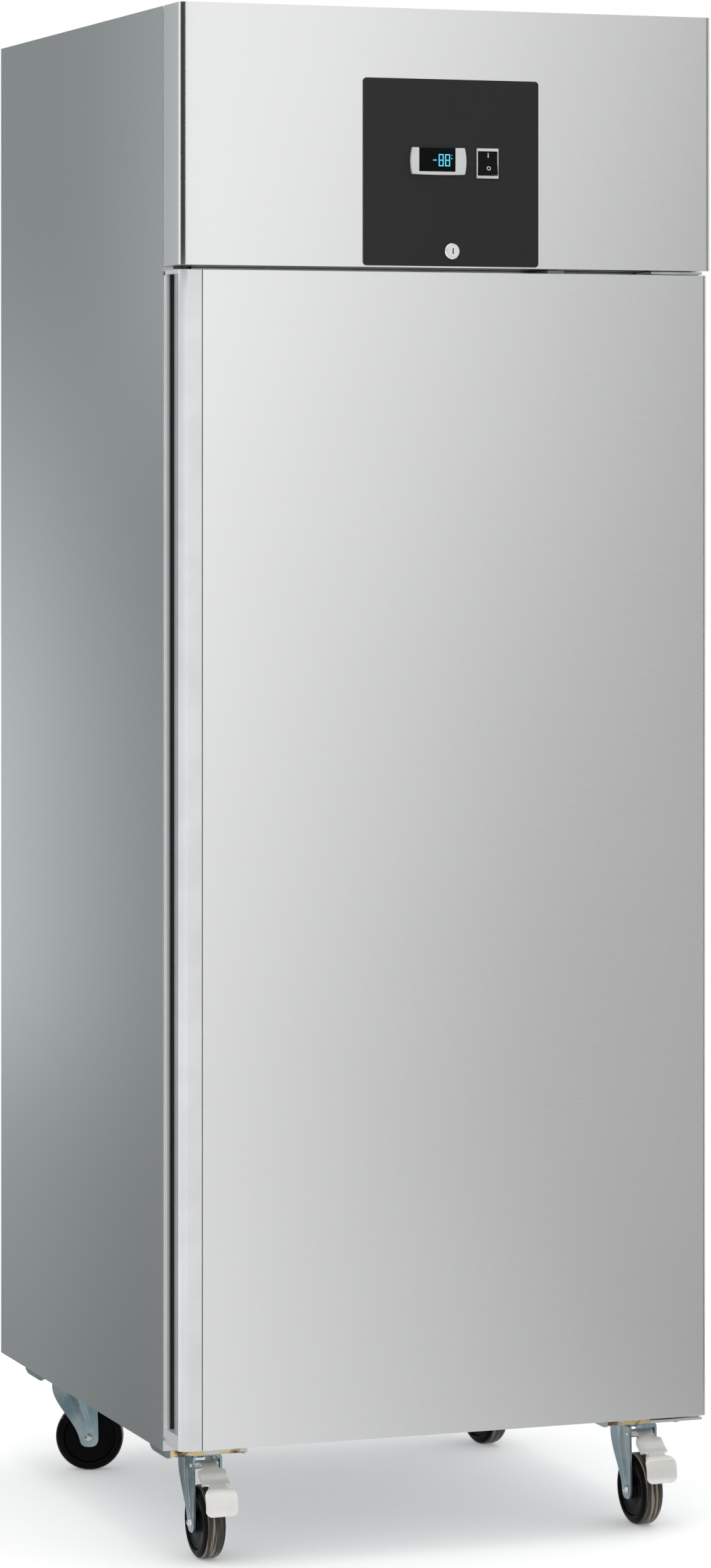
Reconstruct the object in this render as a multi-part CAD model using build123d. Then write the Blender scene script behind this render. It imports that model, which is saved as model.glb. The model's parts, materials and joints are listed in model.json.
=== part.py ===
from build123d import *
import os
from math import cos, radians, sin, sqrt

# Upright stainless refrigerator with one solid door, a top machine compartment behind a
# hinged header, and four swivel castors. Millimetres. X to the right, Y to the back, Z up,
# the origin on the floor under the middle of the box that holds the whole object.

# Overall size
body_width = 740.0
body_depth = 830.0
body_height = 2010.0
sheet = 1.0
front_depth = 72.0
castor_height = 146.4
lock_proud = 8.0

# Header and the gaps round the door
header_height = 336.0
header_corner = 8.0
header_seam = 1.5
door_gap = 6.0
door_lift = 11.7
door_side_gap = 5.5
door_corner = 7.0
door_joint = 1.2
door_return = 12.0
door_thickness = 63.0
running_gap = 0.3
shaft_clearance = 0.05

# Insulated box
wall = 60.0
deck_drop = 3.0
frame_flange = 40.0
upper_flange = 14.0
liner_sheet = 1.0

# Grip profile at the opening side of the door
grip_width = 29.0
grip_bevel = 11.0
grip_lip_depth = 26.0
grip_lip_root = 19.0
grip_lip_edge = 5.0
grip_wall = 4.0
grip_rear_curve = 21.0
grip_rear_land = 4.0
grip_cap_top_height = 5.0
grip_cap_bottom_height = 19.0

# Gasket
gasket_width = 20.0
gasket_bulb = 12.0
gasket_base = 3.0
gasket_inset = 8.0
gasket_left_inset = 3.0
gasket_pivot_margin = 2.0

# Door hinges
hinge_inset = 18.0
hinge_back = 30.0
hinge_pin_radius = 5.0
hinge_pin_length = 22.0
hinge_plate = 3.5
hinge_plate_length = 73.0
hinge_plate_end = 11.0
hinge_plate_reach = 14.0
hinge_plate_gap = 1.5
hinge_leg = 3.0
hinge_leg_height = 12.0
hinge_floor_gap = 3.0
bush_wall = 4.0
bush_flange_wall = 7.0
bush_floor = 2.0

# Door switch in the gap over the door
door_switch_x = 156.0
door_switch_width = 23.0
door_switch_height = 4.0
door_switch_gap = 1.0
door_switch_reach = 50.0

# Header flap hinge
flap_curl_radius = 5.5
flap_rod_radius = 2.6
flap_knuckle_width = 40.0
flap_knuckle_gap = 1.0
flap_knuckle_spacing = 280.0
flap_end_inset = 4.0
flap_flange_setback = 7.0
cover_setback = 4.0

# Control plate and what sits in it
plate_width = 244.0
plate_height = 243.0
plate_corner = 5.0
plate_thickness = 1.5
plate_edge = 2.0
controller_x = -18.7
controller_drop = 197.0
controller_width = 79.0
controller_height = 37.5
controller_bow = 2.5
controller_proud = 5.0
controller_edge = 1.0
controller_body_margin = 4.0
controller_body_depth = 45.0
window_width = 49.4
window_height = 31.0
window_depth = 2.2
window_top_edge = 1.2
switch_x = 49.7
switch_drop = 199.5
switch_width = 29.8
switch_height = 39.0
switch_proud = 3.5
switch_body_depth = 24.0
switch_lip = 0.4
switch_wall = 0.8
switch_corner = 1.5
rocker_radius = 15.0
rocker_pivot_depth = 2.5
rocker_back = 3.0
rocker_front_angle = 28.0
rocker_valley = 4.5
rocker_tilt = 8.0
rocker_pin_radius = 1.5
rocker_room = 6.0
lock_x = 0.0
lock_drop = 314.4
lock_ring_radius = 10.5
lock_ring_proud = 5.0
lock_ring_edge = 1.2
lock_body_radius = 9.5
lock_body_depth = 20.0
lock_barrel_radius = 7.4
lock_slot_width = 1.6
lock_slot_height = 7.6
lock_slot_depth = 3.0
cam_depth = 23.0
cam_sheet = 3.0
cam_length = 37.0
cam_width = 12.0
keeper_side_gap = 1.5
keeper_end_gap = 2.0

# Shelves and what carries them
shelf_count = 3
shelf_first = 300.0
shelf_pitch = 320.0
shelf_width = 530.0
shelf_depth = 650.0
shelf_frame_radius = 3.5
shelf_corner = 14.0
shelf_bar_radius = 3.0
shelf_bar_count = 2
shelf_wire_radius = 1.8
shelf_wire_drop = 0.8
shelf_wire_pitch = 31.0
shelf_front_gap = 14.0
pilaster_depth = 14.0
pilaster_width = 26.0
pilaster_sheet = 1.5
pilaster_front = 70.0
pilaster_back = 90.0
pilaster_rise = 25.0
pilaster_top_gap = 20.0
pilaster_slot_width = 10.0
pilaster_slot_height = 20.0
pilaster_slot_pitch = 64.0
runner_sheet = 1.5
runner_leg = 24.0
runner_overlap = 9.0
runner_front = 30.0
runner_back = 24.0

# Fans, their rings and motors
ring_wall = 2.0
ring_depth = 34.0
fan_tip_gap = 3.0
hub_radius = 20.0
hub_front = 6.0
hub_depth = 22.0
blade_count = 5
blade_width = 42.0
blade_sheet = 2.0
blade_pitch = 28.0
blade_corner = 12.0
motor_radius = 28.0
motor_length = 45.0
motor_face = 30.0
motor_shaft_radius = 3.0
motor_shaft_end = 8.0
motor_arm_width = 10.0
motor_arm_sheet = 4.0
motor_arm_count = 3
guard_ring_spacing = 18.0
guard_wire = 2.5
guard_spoke_angle = 45.0

# Evaporator under the ceiling of the cold room
evaporator_width = 540.0
evaporator_height = 190.0
evaporator_depth = 330.0
evaporator_fan_radius = 75.0
evaporator_coil_gap = 110.0
evaporator_coil_side = 45.0
evaporator_rows = 4
evaporator_coil_lift = 14.0
evaporator_coil_rear = 20.0
inlet_slot_count = 12
inlet_slot_width = 8.0
inlet_slot_length = 90.0
inlet_slot_pitch = 30.0

# Coils
fin_count = 26
fin_sheet = 1.0
coil_plate = 2.0
coil_tube_radius = 5.0
coil_tube_margin = 18.0
coil_bend_reach = 12.0

# Condenser behind the header
condenser_left = 40.0
condenser_width = 300.0
condenser_height = 270.0
condenser_depth = 60.0
condenser_setback = 22.0
condenser_fan_radius = 110.0
condenser_lift = 9.0
condenser_rows = 8
plenum_depth = 26.0

# Compressor
compressor_x = 130.0
compressor_y = 20.0
compressor_radius = 84.0
compressor_height = 186.0
compressor_dome = 46.0
compressor_seam = 6.0
compressor_seam_height = 8.0
compressor_foot_reach = 108.0
compressor_foot_sheet = 4.0
compressor_foot_width = 36.0
compressor_foot_angle = 45.0
compressor_foot_count = 4
compressor_stub_height = 100.0
grommet_radius = 13.0
grommet_height = 18.0
grommet_inset = 15.0
terminal_width = 60.0
terminal_height = 58.0
terminal_reach = 26.0

# Pipes
pipe_radius = 4.0
pipe_bend = 12.0
pipe_clearance = 1.0
pipe_lane = 26.0
pipe_spacing = 30.0
pipe_wall_gap = 11.0
stub_length = 14.0
stub_radius = 6.0

# Electrical box with the supply inlet
box_width = 190.0
box_height = 150.0
box_depth = 110.0
box_right = 50.0
box_corner = 4.0
inlet_radius = 14.0
inlet_bore = 5.0
inlet_lift = 60.0
inlet_clearance = 0.5

# Vent slots of the machine compartment
vent_slot_height = 9.0
vent_slot_width = 150.0
vent_slot_pitch = 24.0
vent_slot_rows = 9
vent_column = 190.0
vent_margin = 70.0
vent_inlet_margin = 30.0

# Castors
castor_x = 306.0
castor_front_y = -290.0
castor_rear_y = 290.0
castor_trail = 28.0
castor_swivels = {"fl": 0.0, "fr": 1.5, "rl": 70.0, "rr": 10.0}
castor_braked = ("fl", "fr")
wheel_radius = 47.5
wheel_width = 30.0
tyre_wall = 12.0
tyre_round = 9.0
rim_width = 25.0
rim_wall = 5.0
web_sheet = 19.0
wheel_hub_radius = 13.0
axle_radius = 5.0
axle_head_radius = 8.5
axle_head_height = 5.5
fork_gap = 34.0
fork_sheet = 3.0
fork_crown_radius = 27.0
fork_crown_height = 4.0
fork_front = 38.0
fork_rear = 24.0
fork_shoulder = 104.0
fork_toe_radius = 13.0
castor_plate_width = 105.0
castor_plate_depth = 98.0
castor_plate_sheet = 3.0
castor_plate_corner = 6.0
castor_lip = 9.0
race_radius = 30.0
race_height = 6.0
kingpin_radius = 6.0
kingpin_head_radius = 10.0
kingpin_head_height = 5.0
castor_bolt_x = 40.0
castor_bolt_y = 35.0
castor_bolt_radius = 4.0
castor_bolt_head_radius = 7.0
castor_bolt_head_height = 5.0
hexagon_sides = 6

# Brake pedals of the front castors
pedal_pivot_y = 30.0
pedal_pivot_z = 122.0
pedal_barrel_radius = 5.5
pedal_pin_radius = 3.0
pedal_pin_proud = 1.5
pedal_sheet = 2.5
pedal_bend = 6.0
pedal_strap_width = 22.0
pedal_ear_width = 36.0
pedal_ear_low = 105.0
pedal_ear_high = 120.0
pedal_tongue_width = 43.0
pedal_tongue_high = 101.0
pedal_tongue_corner = 8.0
pedal_press = 12.0
pedal_shoe_angle = 40.0
pedal_shoe_width = 16.0
pedal_shoe_thickness = 8.0
pedal_shoe_length = 20.0
pedal_shoe_gap = 0.5
pedal_line = ((30.0, 126.3), (46.0, 125.0), (62.0, 115.0), (78.0, 104.0), (93.0, 98.0), (99.0, 84.0), (99.5, 67.0))

# Planes worked out from the driving sizes
left_x = -body_width / 2
right_x = body_width / 2
front_y = (lock_proud - body_depth) / 2
back_y = front_y + body_depth
cabinet_y = front_y + front_depth
header_back_y = cabinet_y - header_seam
base_z = castor_height
header_z = body_height - header_height
door_top_z = header_z - door_gap
door_bottom_z = base_z + door_lift
door_right_x = right_x - door_side_gap
door_back_y = front_y + door_thickness
deck_z = header_z - deck_drop
grip_x = left_x + grip_width
hinge_x = right_x - hinge_inset
hinge_y = front_y + hinge_back
flap_y = header_back_y - flap_curl_radius
flap_z = body_height - flap_curl_radius
lock_z = body_height - lock_drop
cam_y = front_y + cam_depth

# The cold room's inside faces
room_x = body_width / 2 - wall
room_floor_z = base_z + wall
room_ceiling_z = deck_z - wall
room_back_y = back_y - wall
evaporator_y = room_back_y - evaporator_depth
evaporator_z = room_ceiling_z - evaporator_height
evaporator_fan_z = room_ceiling_z - evaporator_height / 2
evaporator_coil_height = evaporator_height - 2 * evaporator_coil_lift

# The machine compartment
plate_y = front_y - plate_thickness
rocker_y = plate_y + rocker_pivot_depth
condenser_x = left_x + condenser_left
condenser_y = cabinet_y + condenser_setback
condenser_back_y = condenser_y + condenser_depth
condenser_fan_x = condenser_x + condenser_width / 2
condenser_fan_y = condenser_back_y + plenum_depth
condenser_fan_z = deck_z + condenser_height / 2
condenser_coil_height = condenser_height - 2 * condenser_lift
inlet_x = right_x - box_right - box_width / 2
inlet_z = deck_z + inlet_lift
compressor_stub_z = deck_z + compressor_stub_height
discharge_x = compressor_x - compressor_radius - stub_length
suction_x = compressor_x + compressor_radius + stub_length
cold_pipe_x = evaporator_width / 2 - pipe_wall_gap
cold_pipe_y = evaporator_y + (evaporator_depth + evaporator_coil_gap - evaporator_coil_rear) / 2

# The castors' levels
race_z = base_z - castor_plate_sheet - race_height
crown_z = race_z - running_gap


# Plain shapes

def block(x0, x1, y0, y1, z0, z1):
    """A box between two corners."""
    middle = Pos((x0 + x1) / 2, (y0 + y1) / 2, (z0 + z1) / 2)
    return middle * Box(x1 - x0, y1 - y0, z1 - z0)


def bar_x(radius, y, z, x0, x1):
    """A round bar along X."""
    return Pos((x0 + x1) / 2, y, z) * Rot(Y=90) * Cylinder(radius, x1 - x0)


def bar_y(radius, x, z, y0, y1):
    """A round bar along Y."""
    return Pos(x, (y0 + y1) / 2, z) * Rot(X=90) * Cylinder(radius, y1 - y0)


def bar_z(radius, x, y, z0, z1):
    """A round bar along Z."""
    return Pos(x, y, (z0 + z1) / 2) * Cylinder(radius, z1 - z0)


def plate_xz(face, y0, y1):
    """A flat face drawn in X and Z, given the thickness from y0 to y1."""
    return Pos(0, y1, 0) * Rot(X=90) * extrude(face, y1 - y0)


def prism_x(face, x0, x1):
    """A face drawn in Y and Z, run along X."""
    return extrude(Plane.YZ.offset(x0) * face, x1 - x0)


def outline(*points):
    """A face inside straight edges."""
    return make_face(Polyline(*points, close=True))


def on_axis_y(x, y, z, shape):
    """Lays a shape whose own Z points out of a fan's front onto an axis along Y."""
    return Pos(x, y, z) * Rot(X=90) * shape


def group(shapes):
    """Several separate solids in one node."""
    return Compound(children=shapes)


# Outer case

def side_panel():
    """The left side sheet with its folded front edge, wide beside the door opening."""
    skin = block(left_x, left_x + sheet, cabinet_y, back_y, base_z, body_height)
    lower = block(left_x, left_x + frame_flange, cabinet_y, cabinet_y + sheet, base_z, deck_z)
    upper = block(left_x, left_x + upper_flange, cabinet_y, cabinet_y + sheet, deck_z, body_height)
    return skin + lower + upper


def vent_slots():
    """Cutters for the slots in the back and the top of the machine compartment."""
    cutters = []
    for column in (-1, 1):
        middle = column * vent_column / 2 - vent_inlet_margin
        for row in range(vent_slot_rows):
            z = body_height - vent_margin - row * vent_slot_pitch
            x0 = middle - vent_slot_width / 2
            x1 = middle + vent_slot_width / 2
            cutters.append(block(x0, x1, back_y - 2 * sheet, back_y + sheet, z, z + vent_slot_height))
    return cutters


def back_panel():
    """The rear sheet, with vent slots at the machine compartment and the inlet's hole."""
    skin = block(left_x + sheet, right_x - sheet, back_y - sheet, back_y, base_z, body_height - sheet)
    hole = bar_y(inlet_radius + inlet_clearance, inlet_x, inlet_z, back_y - 2 * sheet, back_y + sheet)
    return skin - vent_slots() - hole


def base_panel():
    """The floor sheet and the front edge below the door opening."""
    floor = block(left_x + sheet, right_x - sheet, cabinet_y + sheet, back_y - sheet, base_z, base_z + sheet)
    x = right_x - frame_flange
    lip = block(-x, x, cabinet_y, cabinet_y + sheet, base_z, base_z + frame_flange)
    holes = [bar_z(castor_bolt_radius, bx, by, base_z - sheet, base_z + 2 * sheet) for bx, by in bolt_places()]
    return floor + lip - holes


def pipe_holes(z0, z1):
    """Cutters for the two pipes that go down to the evaporator."""
    radius = pipe_radius + pipe_clearance
    return [bar_z(radius, cold_pipe_x, cold_pipe_y + step * pipe_spacing, z0, z1) for step in (0, 1)]


def deck_panel():
    """The sheet over the insulation that carries the machinery."""
    top = block(left_x + sheet, right_x - sheet, cabinet_y + sheet, back_y - sheet, deck_z - sheet, deck_z)
    x = right_x - frame_flange
    lip = block(-x, x, cabinet_y, cabinet_y + sheet, deck_z - frame_flange, deck_z)
    return top + lip - pipe_holes(deck_z - 2 * sheet, deck_z + sheet)


def knuckle_places():
    """The middles of the cover's hinge knuckles along X."""
    return [-flap_knuckle_spacing, 0.0, flap_knuckle_spacing]


def top_cover():
    """The lid of the machine compartment, its front tabs rolled round the flap's rod."""
    cover_y = cabinet_y + cover_setback
    lid = block(left_x + sheet, right_x - sheet, cover_y, back_y, body_height - sheet, body_height)
    for column in (-1, 1):
        middle = column * vent_column
        for row in range(vent_slot_rows):
            y = back_y - vent_margin - row * vent_slot_pitch
            lid -= block(middle - vent_slot_width / 2, middle + vent_slot_width / 2, y - vent_slot_height, y,
                         body_height - 2 * sheet, body_height + sheet)
    for x in knuckle_places():
        x0 = x - flap_knuckle_width / 2
        x1 = x + flap_knuckle_width / 2
        tab = block(x0, x1, flap_y, cover_y, body_height - sheet, body_height)
        curl = bar_x(flap_curl_radius, flap_y, flap_z, x0, x1)
        lid += tab + curl
    return lid - bar_x(flap_rod_radius, flap_y, flap_z, left_x, right_x)


def flap_hinge_rod():
    """The rod that the header flap turns on."""
    end = right_x - flap_end_inset
    return bar_x(flap_rod_radius, flap_y, flap_z, -end, end)


# Insulated box

def room(grow):
    """The cold room's space, open to the front, grown outwards by a wall thickness."""
    return block(-room_x - grow, room_x + grow, cabinet_y - grow, room_back_y + grow,
                 room_floor_z - grow, room_ceiling_z + grow)


def insulation():
    """The foam between the case and the liner."""
    x = right_x - sheet
    body = block(-x, x, cabinet_y + sheet, back_y - sheet, base_z + sheet, deck_z - sheet)
    return body - room(liner_sheet) - pipe_holes(room_ceiling_z, deck_z)


def inner_liner():
    """The cold room's stainless tub with its front flange."""
    tub = block(-room_x - liner_sheet, room_x + liner_sheet, cabinet_y, room_back_y + liner_sheet,
                room_floor_z - liner_sheet, room_ceiling_z + liner_sheet)
    x = right_x - frame_flange
    flange = block(-x, x, cabinet_y, cabinet_y + sheet, base_z + frame_flange, deck_z - frame_flange)
    return tub + flange - room(0) - pipe_holes(room_ceiling_z - sheet, room_ceiling_z + 2 * liner_sheet)


# Shelves

def shelf_height(index):
    """The top of a runner's flange."""
    return room_floor_z + shelf_first + index * shelf_pitch


def pilaster(side, y):
    """A slotted upright channel on the cold room's side wall."""
    z0 = room_floor_z + pilaster_rise
    z1 = evaporator_z - pilaster_top_gap
    outer = sorted((side * room_x, side * (room_x - pilaster_depth)))
    inner = sorted((side * room_x, side * (room_x - pilaster_depth + pilaster_sheet)))
    y0 = y - pilaster_width / 2
    y1 = y + pilaster_width / 2
    channel = block(*outer, y0, y1, z0, z1)
    channel -= block(*inner, y0 + pilaster_sheet, y1 - pilaster_sheet, z0, z1)
    slot_count = int((z1 - z0) / pilaster_slot_pitch)
    for step in range(slot_count):
        z = z0 + (step + 0.5) * pilaster_slot_pitch
        channel -= block(*outer, y - pilaster_slot_width / 2, y + pilaster_slot_width / 2,
                         z - pilaster_slot_height / 2, z + pilaster_slot_height / 2)
    return channel


def runner(side, z):
    """An angle that a shelf slides in on."""
    face = room_x - pilaster_depth
    y0 = cabinet_y + runner_front
    y1 = room_back_y - runner_back
    leg = sorted((side * face, side * (face - runner_sheet)))
    flange = sorted((side * face, side * (shelf_width / 2 - runner_overlap)))
    upright = block(*leg, y0, y1, z - runner_sheet, z + runner_leg)
    return upright + block(*flange, y0, y1, z - runner_sheet, z)


def shelf_supports():
    """Four pilasters and a pair of runners for each shelf."""
    pieces = []
    for side in (-1, 1):
        for y in (cabinet_y + pilaster_front, room_back_y - pilaster_back):
            pieces.append(pilaster(side, y))
        for index in range(shelf_count):
            pieces.append(runner(side, shelf_height(index)))
    return group(pieces)


def shelf(index):
    """A wire shelf resting on its two runners."""
    x = shelf_width / 2 - shelf_frame_radius
    y0 = cabinet_y + runner_front + shelf_front_gap + shelf_frame_radius
    y1 = y0 + shelf_depth - 2 * shelf_frame_radius
    half_path = FilletPolyline((0, y0), (x, y0), (x, y1), (0, y1), radius=shelf_corner)
    start = Plane(origin=(0, y0, 0), z_dir=(1, 0, 0))
    half_rim = sweep(start * Circle(shelf_frame_radius), path=half_path)
    wires = half_rim + mirror(half_rim, about=Plane.YZ)
    for step in range(shelf_bar_count):
        y = y0 + (step + 1) * (y1 - y0) / (shelf_bar_count + 1)
        wires += bar_x(shelf_bar_radius, y, 0, -x, x)
    count = int(2 * x / shelf_wire_pitch)
    pitch = 2 * x / (count + 1)
    rise = shelf_frame_radius - shelf_wire_radius - shelf_wire_drop
    for step in range(count):
        wires += Pos(0, 0, rise) * bar_y(shelf_wire_radius, -x + (step + 1) * pitch, 0, y0, y1)
    return Pos(0, 0, shelf_height(index) + shelf_frame_radius) * wires


# Fans

def fan_ring(fan_radius):
    """The ring round a fan, behind a sheet whose front face is at zero."""
    inner = fan_radius + fan_tip_gap
    ring = Pos(0, 0, -ring_depth / 2) * Cylinder(inner + ring_wall, ring_depth)
    return ring - Pos(0, 0, -ring_depth / 2) * Cylinder(inner, ring_depth)


def fan(fan_radius):
    """A hub with pitched blades, bored for the motor's shaft."""
    hub = Pos(0, 0, -hub_front - hub_depth / 2) * Cylinder(hub_radius, hub_depth)
    reach = fan_radius - hub_radius / 2
    flat = extrude(RectangleRounded(reach, blade_width, blade_corner), blade_sheet / 2, both=True)
    blade = Pos(hub_radius / 2 + reach / 2, 0, 0) * Rot(X=blade_pitch) * flat
    rotor = hub
    for step in range(blade_count):
        rotor += Pos(0, 0, -hub_front - hub_depth / 2) * Rot(Z=step * 360 / blade_count) * blade
    rim = Pos(0, 0, -ring_depth / 2) * Cylinder(fan_radius, ring_depth)
    bore_depth = motor_face - motor_shaft_end + running_gap
    bore = Pos(0, 0, -motor_face + bore_depth / 2) * Cylinder(motor_shaft_radius + shaft_clearance, bore_depth)
    return (rotor & rim) - bore


def fan_motor(fan_radius):
    """A motor held by arms on the back edge of its fan's ring."""
    body = Pos(0, 0, -motor_face - motor_length / 2) * Cylinder(motor_radius, motor_length)
    shaft_length = motor_face - motor_shaft_end
    body += Pos(0, 0, -motor_face + shaft_length / 2) * Cylinder(motor_shaft_radius, shaft_length)
    reach = fan_radius + fan_tip_gap + ring_wall
    arm = Box(reach, motor_arm_width, motor_arm_sheet)
    for step in range(motor_arm_count):
        turn = Rot(Z=90 + step * 360 / motor_arm_count)
        body += turn * Pos(reach / 2, 0, -ring_depth - motor_arm_sheet / 2) * arm
    return body


def fan_motors():
    """The evaporator's and the condenser's fan motors."""
    cold = on_axis_y(0, evaporator_y, evaporator_fan_z, fan_motor(evaporator_fan_radius))
    warm = on_axis_y(condenser_fan_x, condenser_fan_y, condenser_fan_z, fan_motor(condenser_fan_radius))
    return group([cold, warm])


def evaporator_fan():
    """The fan that blows through the cold room."""
    return on_axis_y(0, evaporator_y, evaporator_fan_z, fan(evaporator_fan_radius))


def condenser_fan():
    """The fan that draws air through the condenser."""
    return on_axis_y(condenser_fan_x, condenser_fan_y, condenser_fan_z, fan(condenser_fan_radius))


def finger_guard(opening):
    """Wire rings and spokes across a fan's opening, in front of the sheet."""
    wires = Part()
    radius = opening
    while radius > guard_ring_spacing:
        ring = Cylinder(radius, guard_wire) - Cylinder(radius - guard_wire, guard_wire)
        wires += ring
        radius -= guard_ring_spacing
    for step in (0, 1):
        wires += Rot(Z=guard_spoke_angle + step * 90) * Box(2 * opening, guard_wire, guard_wire)
    return Pos(0, 0, -guard_wire / 2) * wires


# Coils

def row_place(row, rows, height):
    """A tube row's height from the middle of its coil."""
    return (row / (rows - 1) - 0.5) * (height - 2 * coil_tube_margin)


def finned_coil(width, height, depth, foot, head, rows):
    """Fins on a tube run between two end plates, drawn down and up to what carries them."""
    coil = Part()
    for side in (-1, 1):
        x = side * (width - coil_plate) / 2
        coil += Pos(x, 0, (head - foot) / 2) * Box(coil_plate, depth, height + foot + head)
    pitch = (width - 2 * coil_plate) / (fin_count + 1)
    for step in range(fin_count):
        x = -width / 2 + coil_plate + (step + 1) * pitch
        coil += Pos(x, 0, 0) * Box(fin_sheet, depth, height)
    reach = width / 2 + coil_bend_reach
    for row in range(rows):
        coil += bar_x(coil_tube_radius, 0, row_place(row, rows, height), -reach, reach)
    for row in range(rows - 1):
        side = 1 if row % 2 else -1
        x = side * (reach - coil_tube_radius)
        coil += bar_z(coil_tube_radius, x, 0, row_place(row, rows, height), row_place(row + 1, rows, height))
    return coil


def evaporator_coil():
    """The cold coil, hung from the ceiling behind the fan."""
    width = evaporator_width - 2 * evaporator_coil_side
    depth = evaporator_depth - evaporator_coil_gap - evaporator_coil_rear
    coil = finned_coil(width, evaporator_coil_height, depth, 0, evaporator_coil_lift, evaporator_rows)
    return Pos(0, cold_pipe_y, evaporator_fan_z) * coil


def evaporator_cover():
    """The cover over the coil, with the fan's ring and guard and the return slots."""
    x = evaporator_width / 2
    cover = block(-x, x, evaporator_y, room_back_y, evaporator_z, room_ceiling_z)
    cover -= block(-x + sheet, x - sheet, evaporator_y + sheet, room_back_y, evaporator_z + sheet,
                   room_ceiling_z)
    opening = evaporator_fan_radius + fan_tip_gap
    cover -= bar_y(opening, 0, evaporator_fan_z, evaporator_y, evaporator_y + 2 * sheet)
    for step in range(inlet_slot_count):
        middle = (step - (inlet_slot_count - 1) / 2) * inlet_slot_pitch
        rear = room_back_y - evaporator_coil_rear
        cover -= block(middle - inlet_slot_width / 2, middle + inlet_slot_width / 2,
                       rear - inlet_slot_length, rear, evaporator_z - sheet, evaporator_z + 2 * sheet)
    ring = on_axis_y(0, evaporator_y, evaporator_fan_z, fan_ring(evaporator_fan_radius))
    guard = on_axis_y(0, evaporator_y, evaporator_fan_z, finger_guard(opening + guard_wire / 2))
    return cover + ring + guard


def condenser_coil():
    """The warm coil standing on the deck behind the header."""
    coil = finned_coil(condenser_width, condenser_coil_height, condenser_depth, condenser_lift, 0,
                       condenser_rows)
    return Pos(condenser_fan_x, condenser_y + condenser_depth / 2, condenser_fan_z) * coil


def condenser_shroud():
    """The hood between the condenser and its fan's ring."""
    x0 = condenser_x
    x1 = condenser_x + condenser_width
    z0 = deck_z
    z1 = deck_z + condenser_height
    hood = block(x0, x1, condenser_back_y, condenser_fan_y + sheet, z0, z1)
    hood -= block(x0 + sheet, x1 - sheet, condenser_back_y, condenser_fan_y, z0 + sheet, z1 - sheet)
    opening = condenser_fan_radius + fan_tip_gap
    hood -= bar_y(opening, condenser_fan_x, condenser_fan_z, condenser_fan_y, condenser_fan_y + sheet)
    return hood + on_axis_y(condenser_fan_x, condenser_fan_y, condenser_fan_z, fan_ring(condenser_fan_radius))


# Compressor, pipes and electrical box

def compressor():
    """A sealed steel shell on feet with grommets, a terminal cover and two pipe stubs."""
    shell_height = compressor_height - grommet_height
    half = outline((0, 0), (compressor_radius, 0), (compressor_radius, shell_height), (0, shell_height))
    corners = [v for v in half.vertices() if v.X > compressor_radius / 2]
    shell = revolve(Plane.XZ * fillet(corners, compressor_dome), Axis.Z)
    shell += Pos(0, 0, shell_height / 2) * Cylinder(compressor_radius + compressor_seam, compressor_seam_height)
    foot = Box(compressor_foot_reach, compressor_foot_width, compressor_foot_sheet)
    foot_place = Pos(compressor_foot_reach / 2, 0, compressor_foot_sheet / 2)
    grommet_place = Pos(compressor_foot_reach - grommet_inset, 0, -grommet_height / 2)
    for step in range(compressor_foot_count):
        turn = Rot(Z=compressor_foot_angle + step * 360 / compressor_foot_count)
        shell += turn * foot_place * foot
        shell += turn * grommet_place * Cylinder(grommet_radius, grommet_height)
    front = -compressor_radius - terminal_reach
    middle = shell_height / 2
    shell += block(-terminal_width / 2, terminal_width / 2, front, -compressor_radius / 2,
                   middle - terminal_height / 2, middle + terminal_height / 2)
    placed = Pos(compressor_x, compressor_y, deck_z + grommet_height) * shell
    return placed + bar_x(stub_radius, compressor_y, compressor_stub_z, discharge_x, suction_x)


def pipe(*corners):
    """A bent tube through a list of corners."""
    path = FilletPolyline(*corners, radius=pipe_bend)
    heading = Vector(*corners[1]) - Vector(*corners[0])
    start = Plane(origin=corners[0], z_dir=heading)
    return sweep(start * Circle(pipe_radius), path=path)


def discharge_pipe():
    """From the compressor to the condenser's highest tube."""
    lane = discharge_x - pipe_lane
    coil_x = condenser_x + condenser_width + coil_bend_reach
    coil_y = condenser_y + condenser_depth / 2
    high = condenser_fan_z + row_place(condenser_rows - 1, condenser_rows, condenser_coil_height)
    return pipe((discharge_x, compressor_y, compressor_stub_z),
                (lane, compressor_y, compressor_stub_z),
                (lane, compressor_y, high),
                (lane, coil_y, high),
                (coil_x, coil_y, high))


def liquid_pipe():
    """From the condenser's lowest tube down to the evaporator's lowest tube."""
    lane = discharge_x - pipe_lane
    coil_x = condenser_x + condenser_width + coil_bend_reach
    coil_y = condenser_y + condenser_depth / 2
    low = condenser_fan_z + row_place(0, condenser_rows, condenser_coil_height)
    cold = evaporator_fan_z + row_place(0, evaporator_rows, evaporator_coil_height)
    end_x = evaporator_width / 2 - evaporator_coil_side + coil_bend_reach
    rear = cold_pipe_y + pipe_spacing
    return pipe((coil_x, coil_y, low),
                (lane, coil_y, low),
                (lane, rear, low),
                (cold_pipe_x, rear, low),
                (cold_pipe_x, rear, cold),
                (cold_pipe_x, cold_pipe_y, cold),
                (end_x, cold_pipe_y, cold))


def suction_pipe():
    """From the evaporator's highest tube back up to the compressor."""
    cold = evaporator_fan_z + row_place(evaporator_rows - 1, evaporator_rows, evaporator_coil_height)
    end_x = evaporator_width / 2 - evaporator_coil_side + coil_bend_reach
    return pipe((suction_x, compressor_y, compressor_stub_z),
                (cold_pipe_x, compressor_y, compressor_stub_z),
                (cold_pipe_x, cold_pipe_y, compressor_stub_z),
                (cold_pipe_x, cold_pipe_y, cold),
                (end_x, cold_pipe_y, cold))


def refrigerant_pipes():
    """The three lines of the refrigerant circuit."""
    return group([discharge_pipe(), liquid_pipe(), suction_pipe()])


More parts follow.
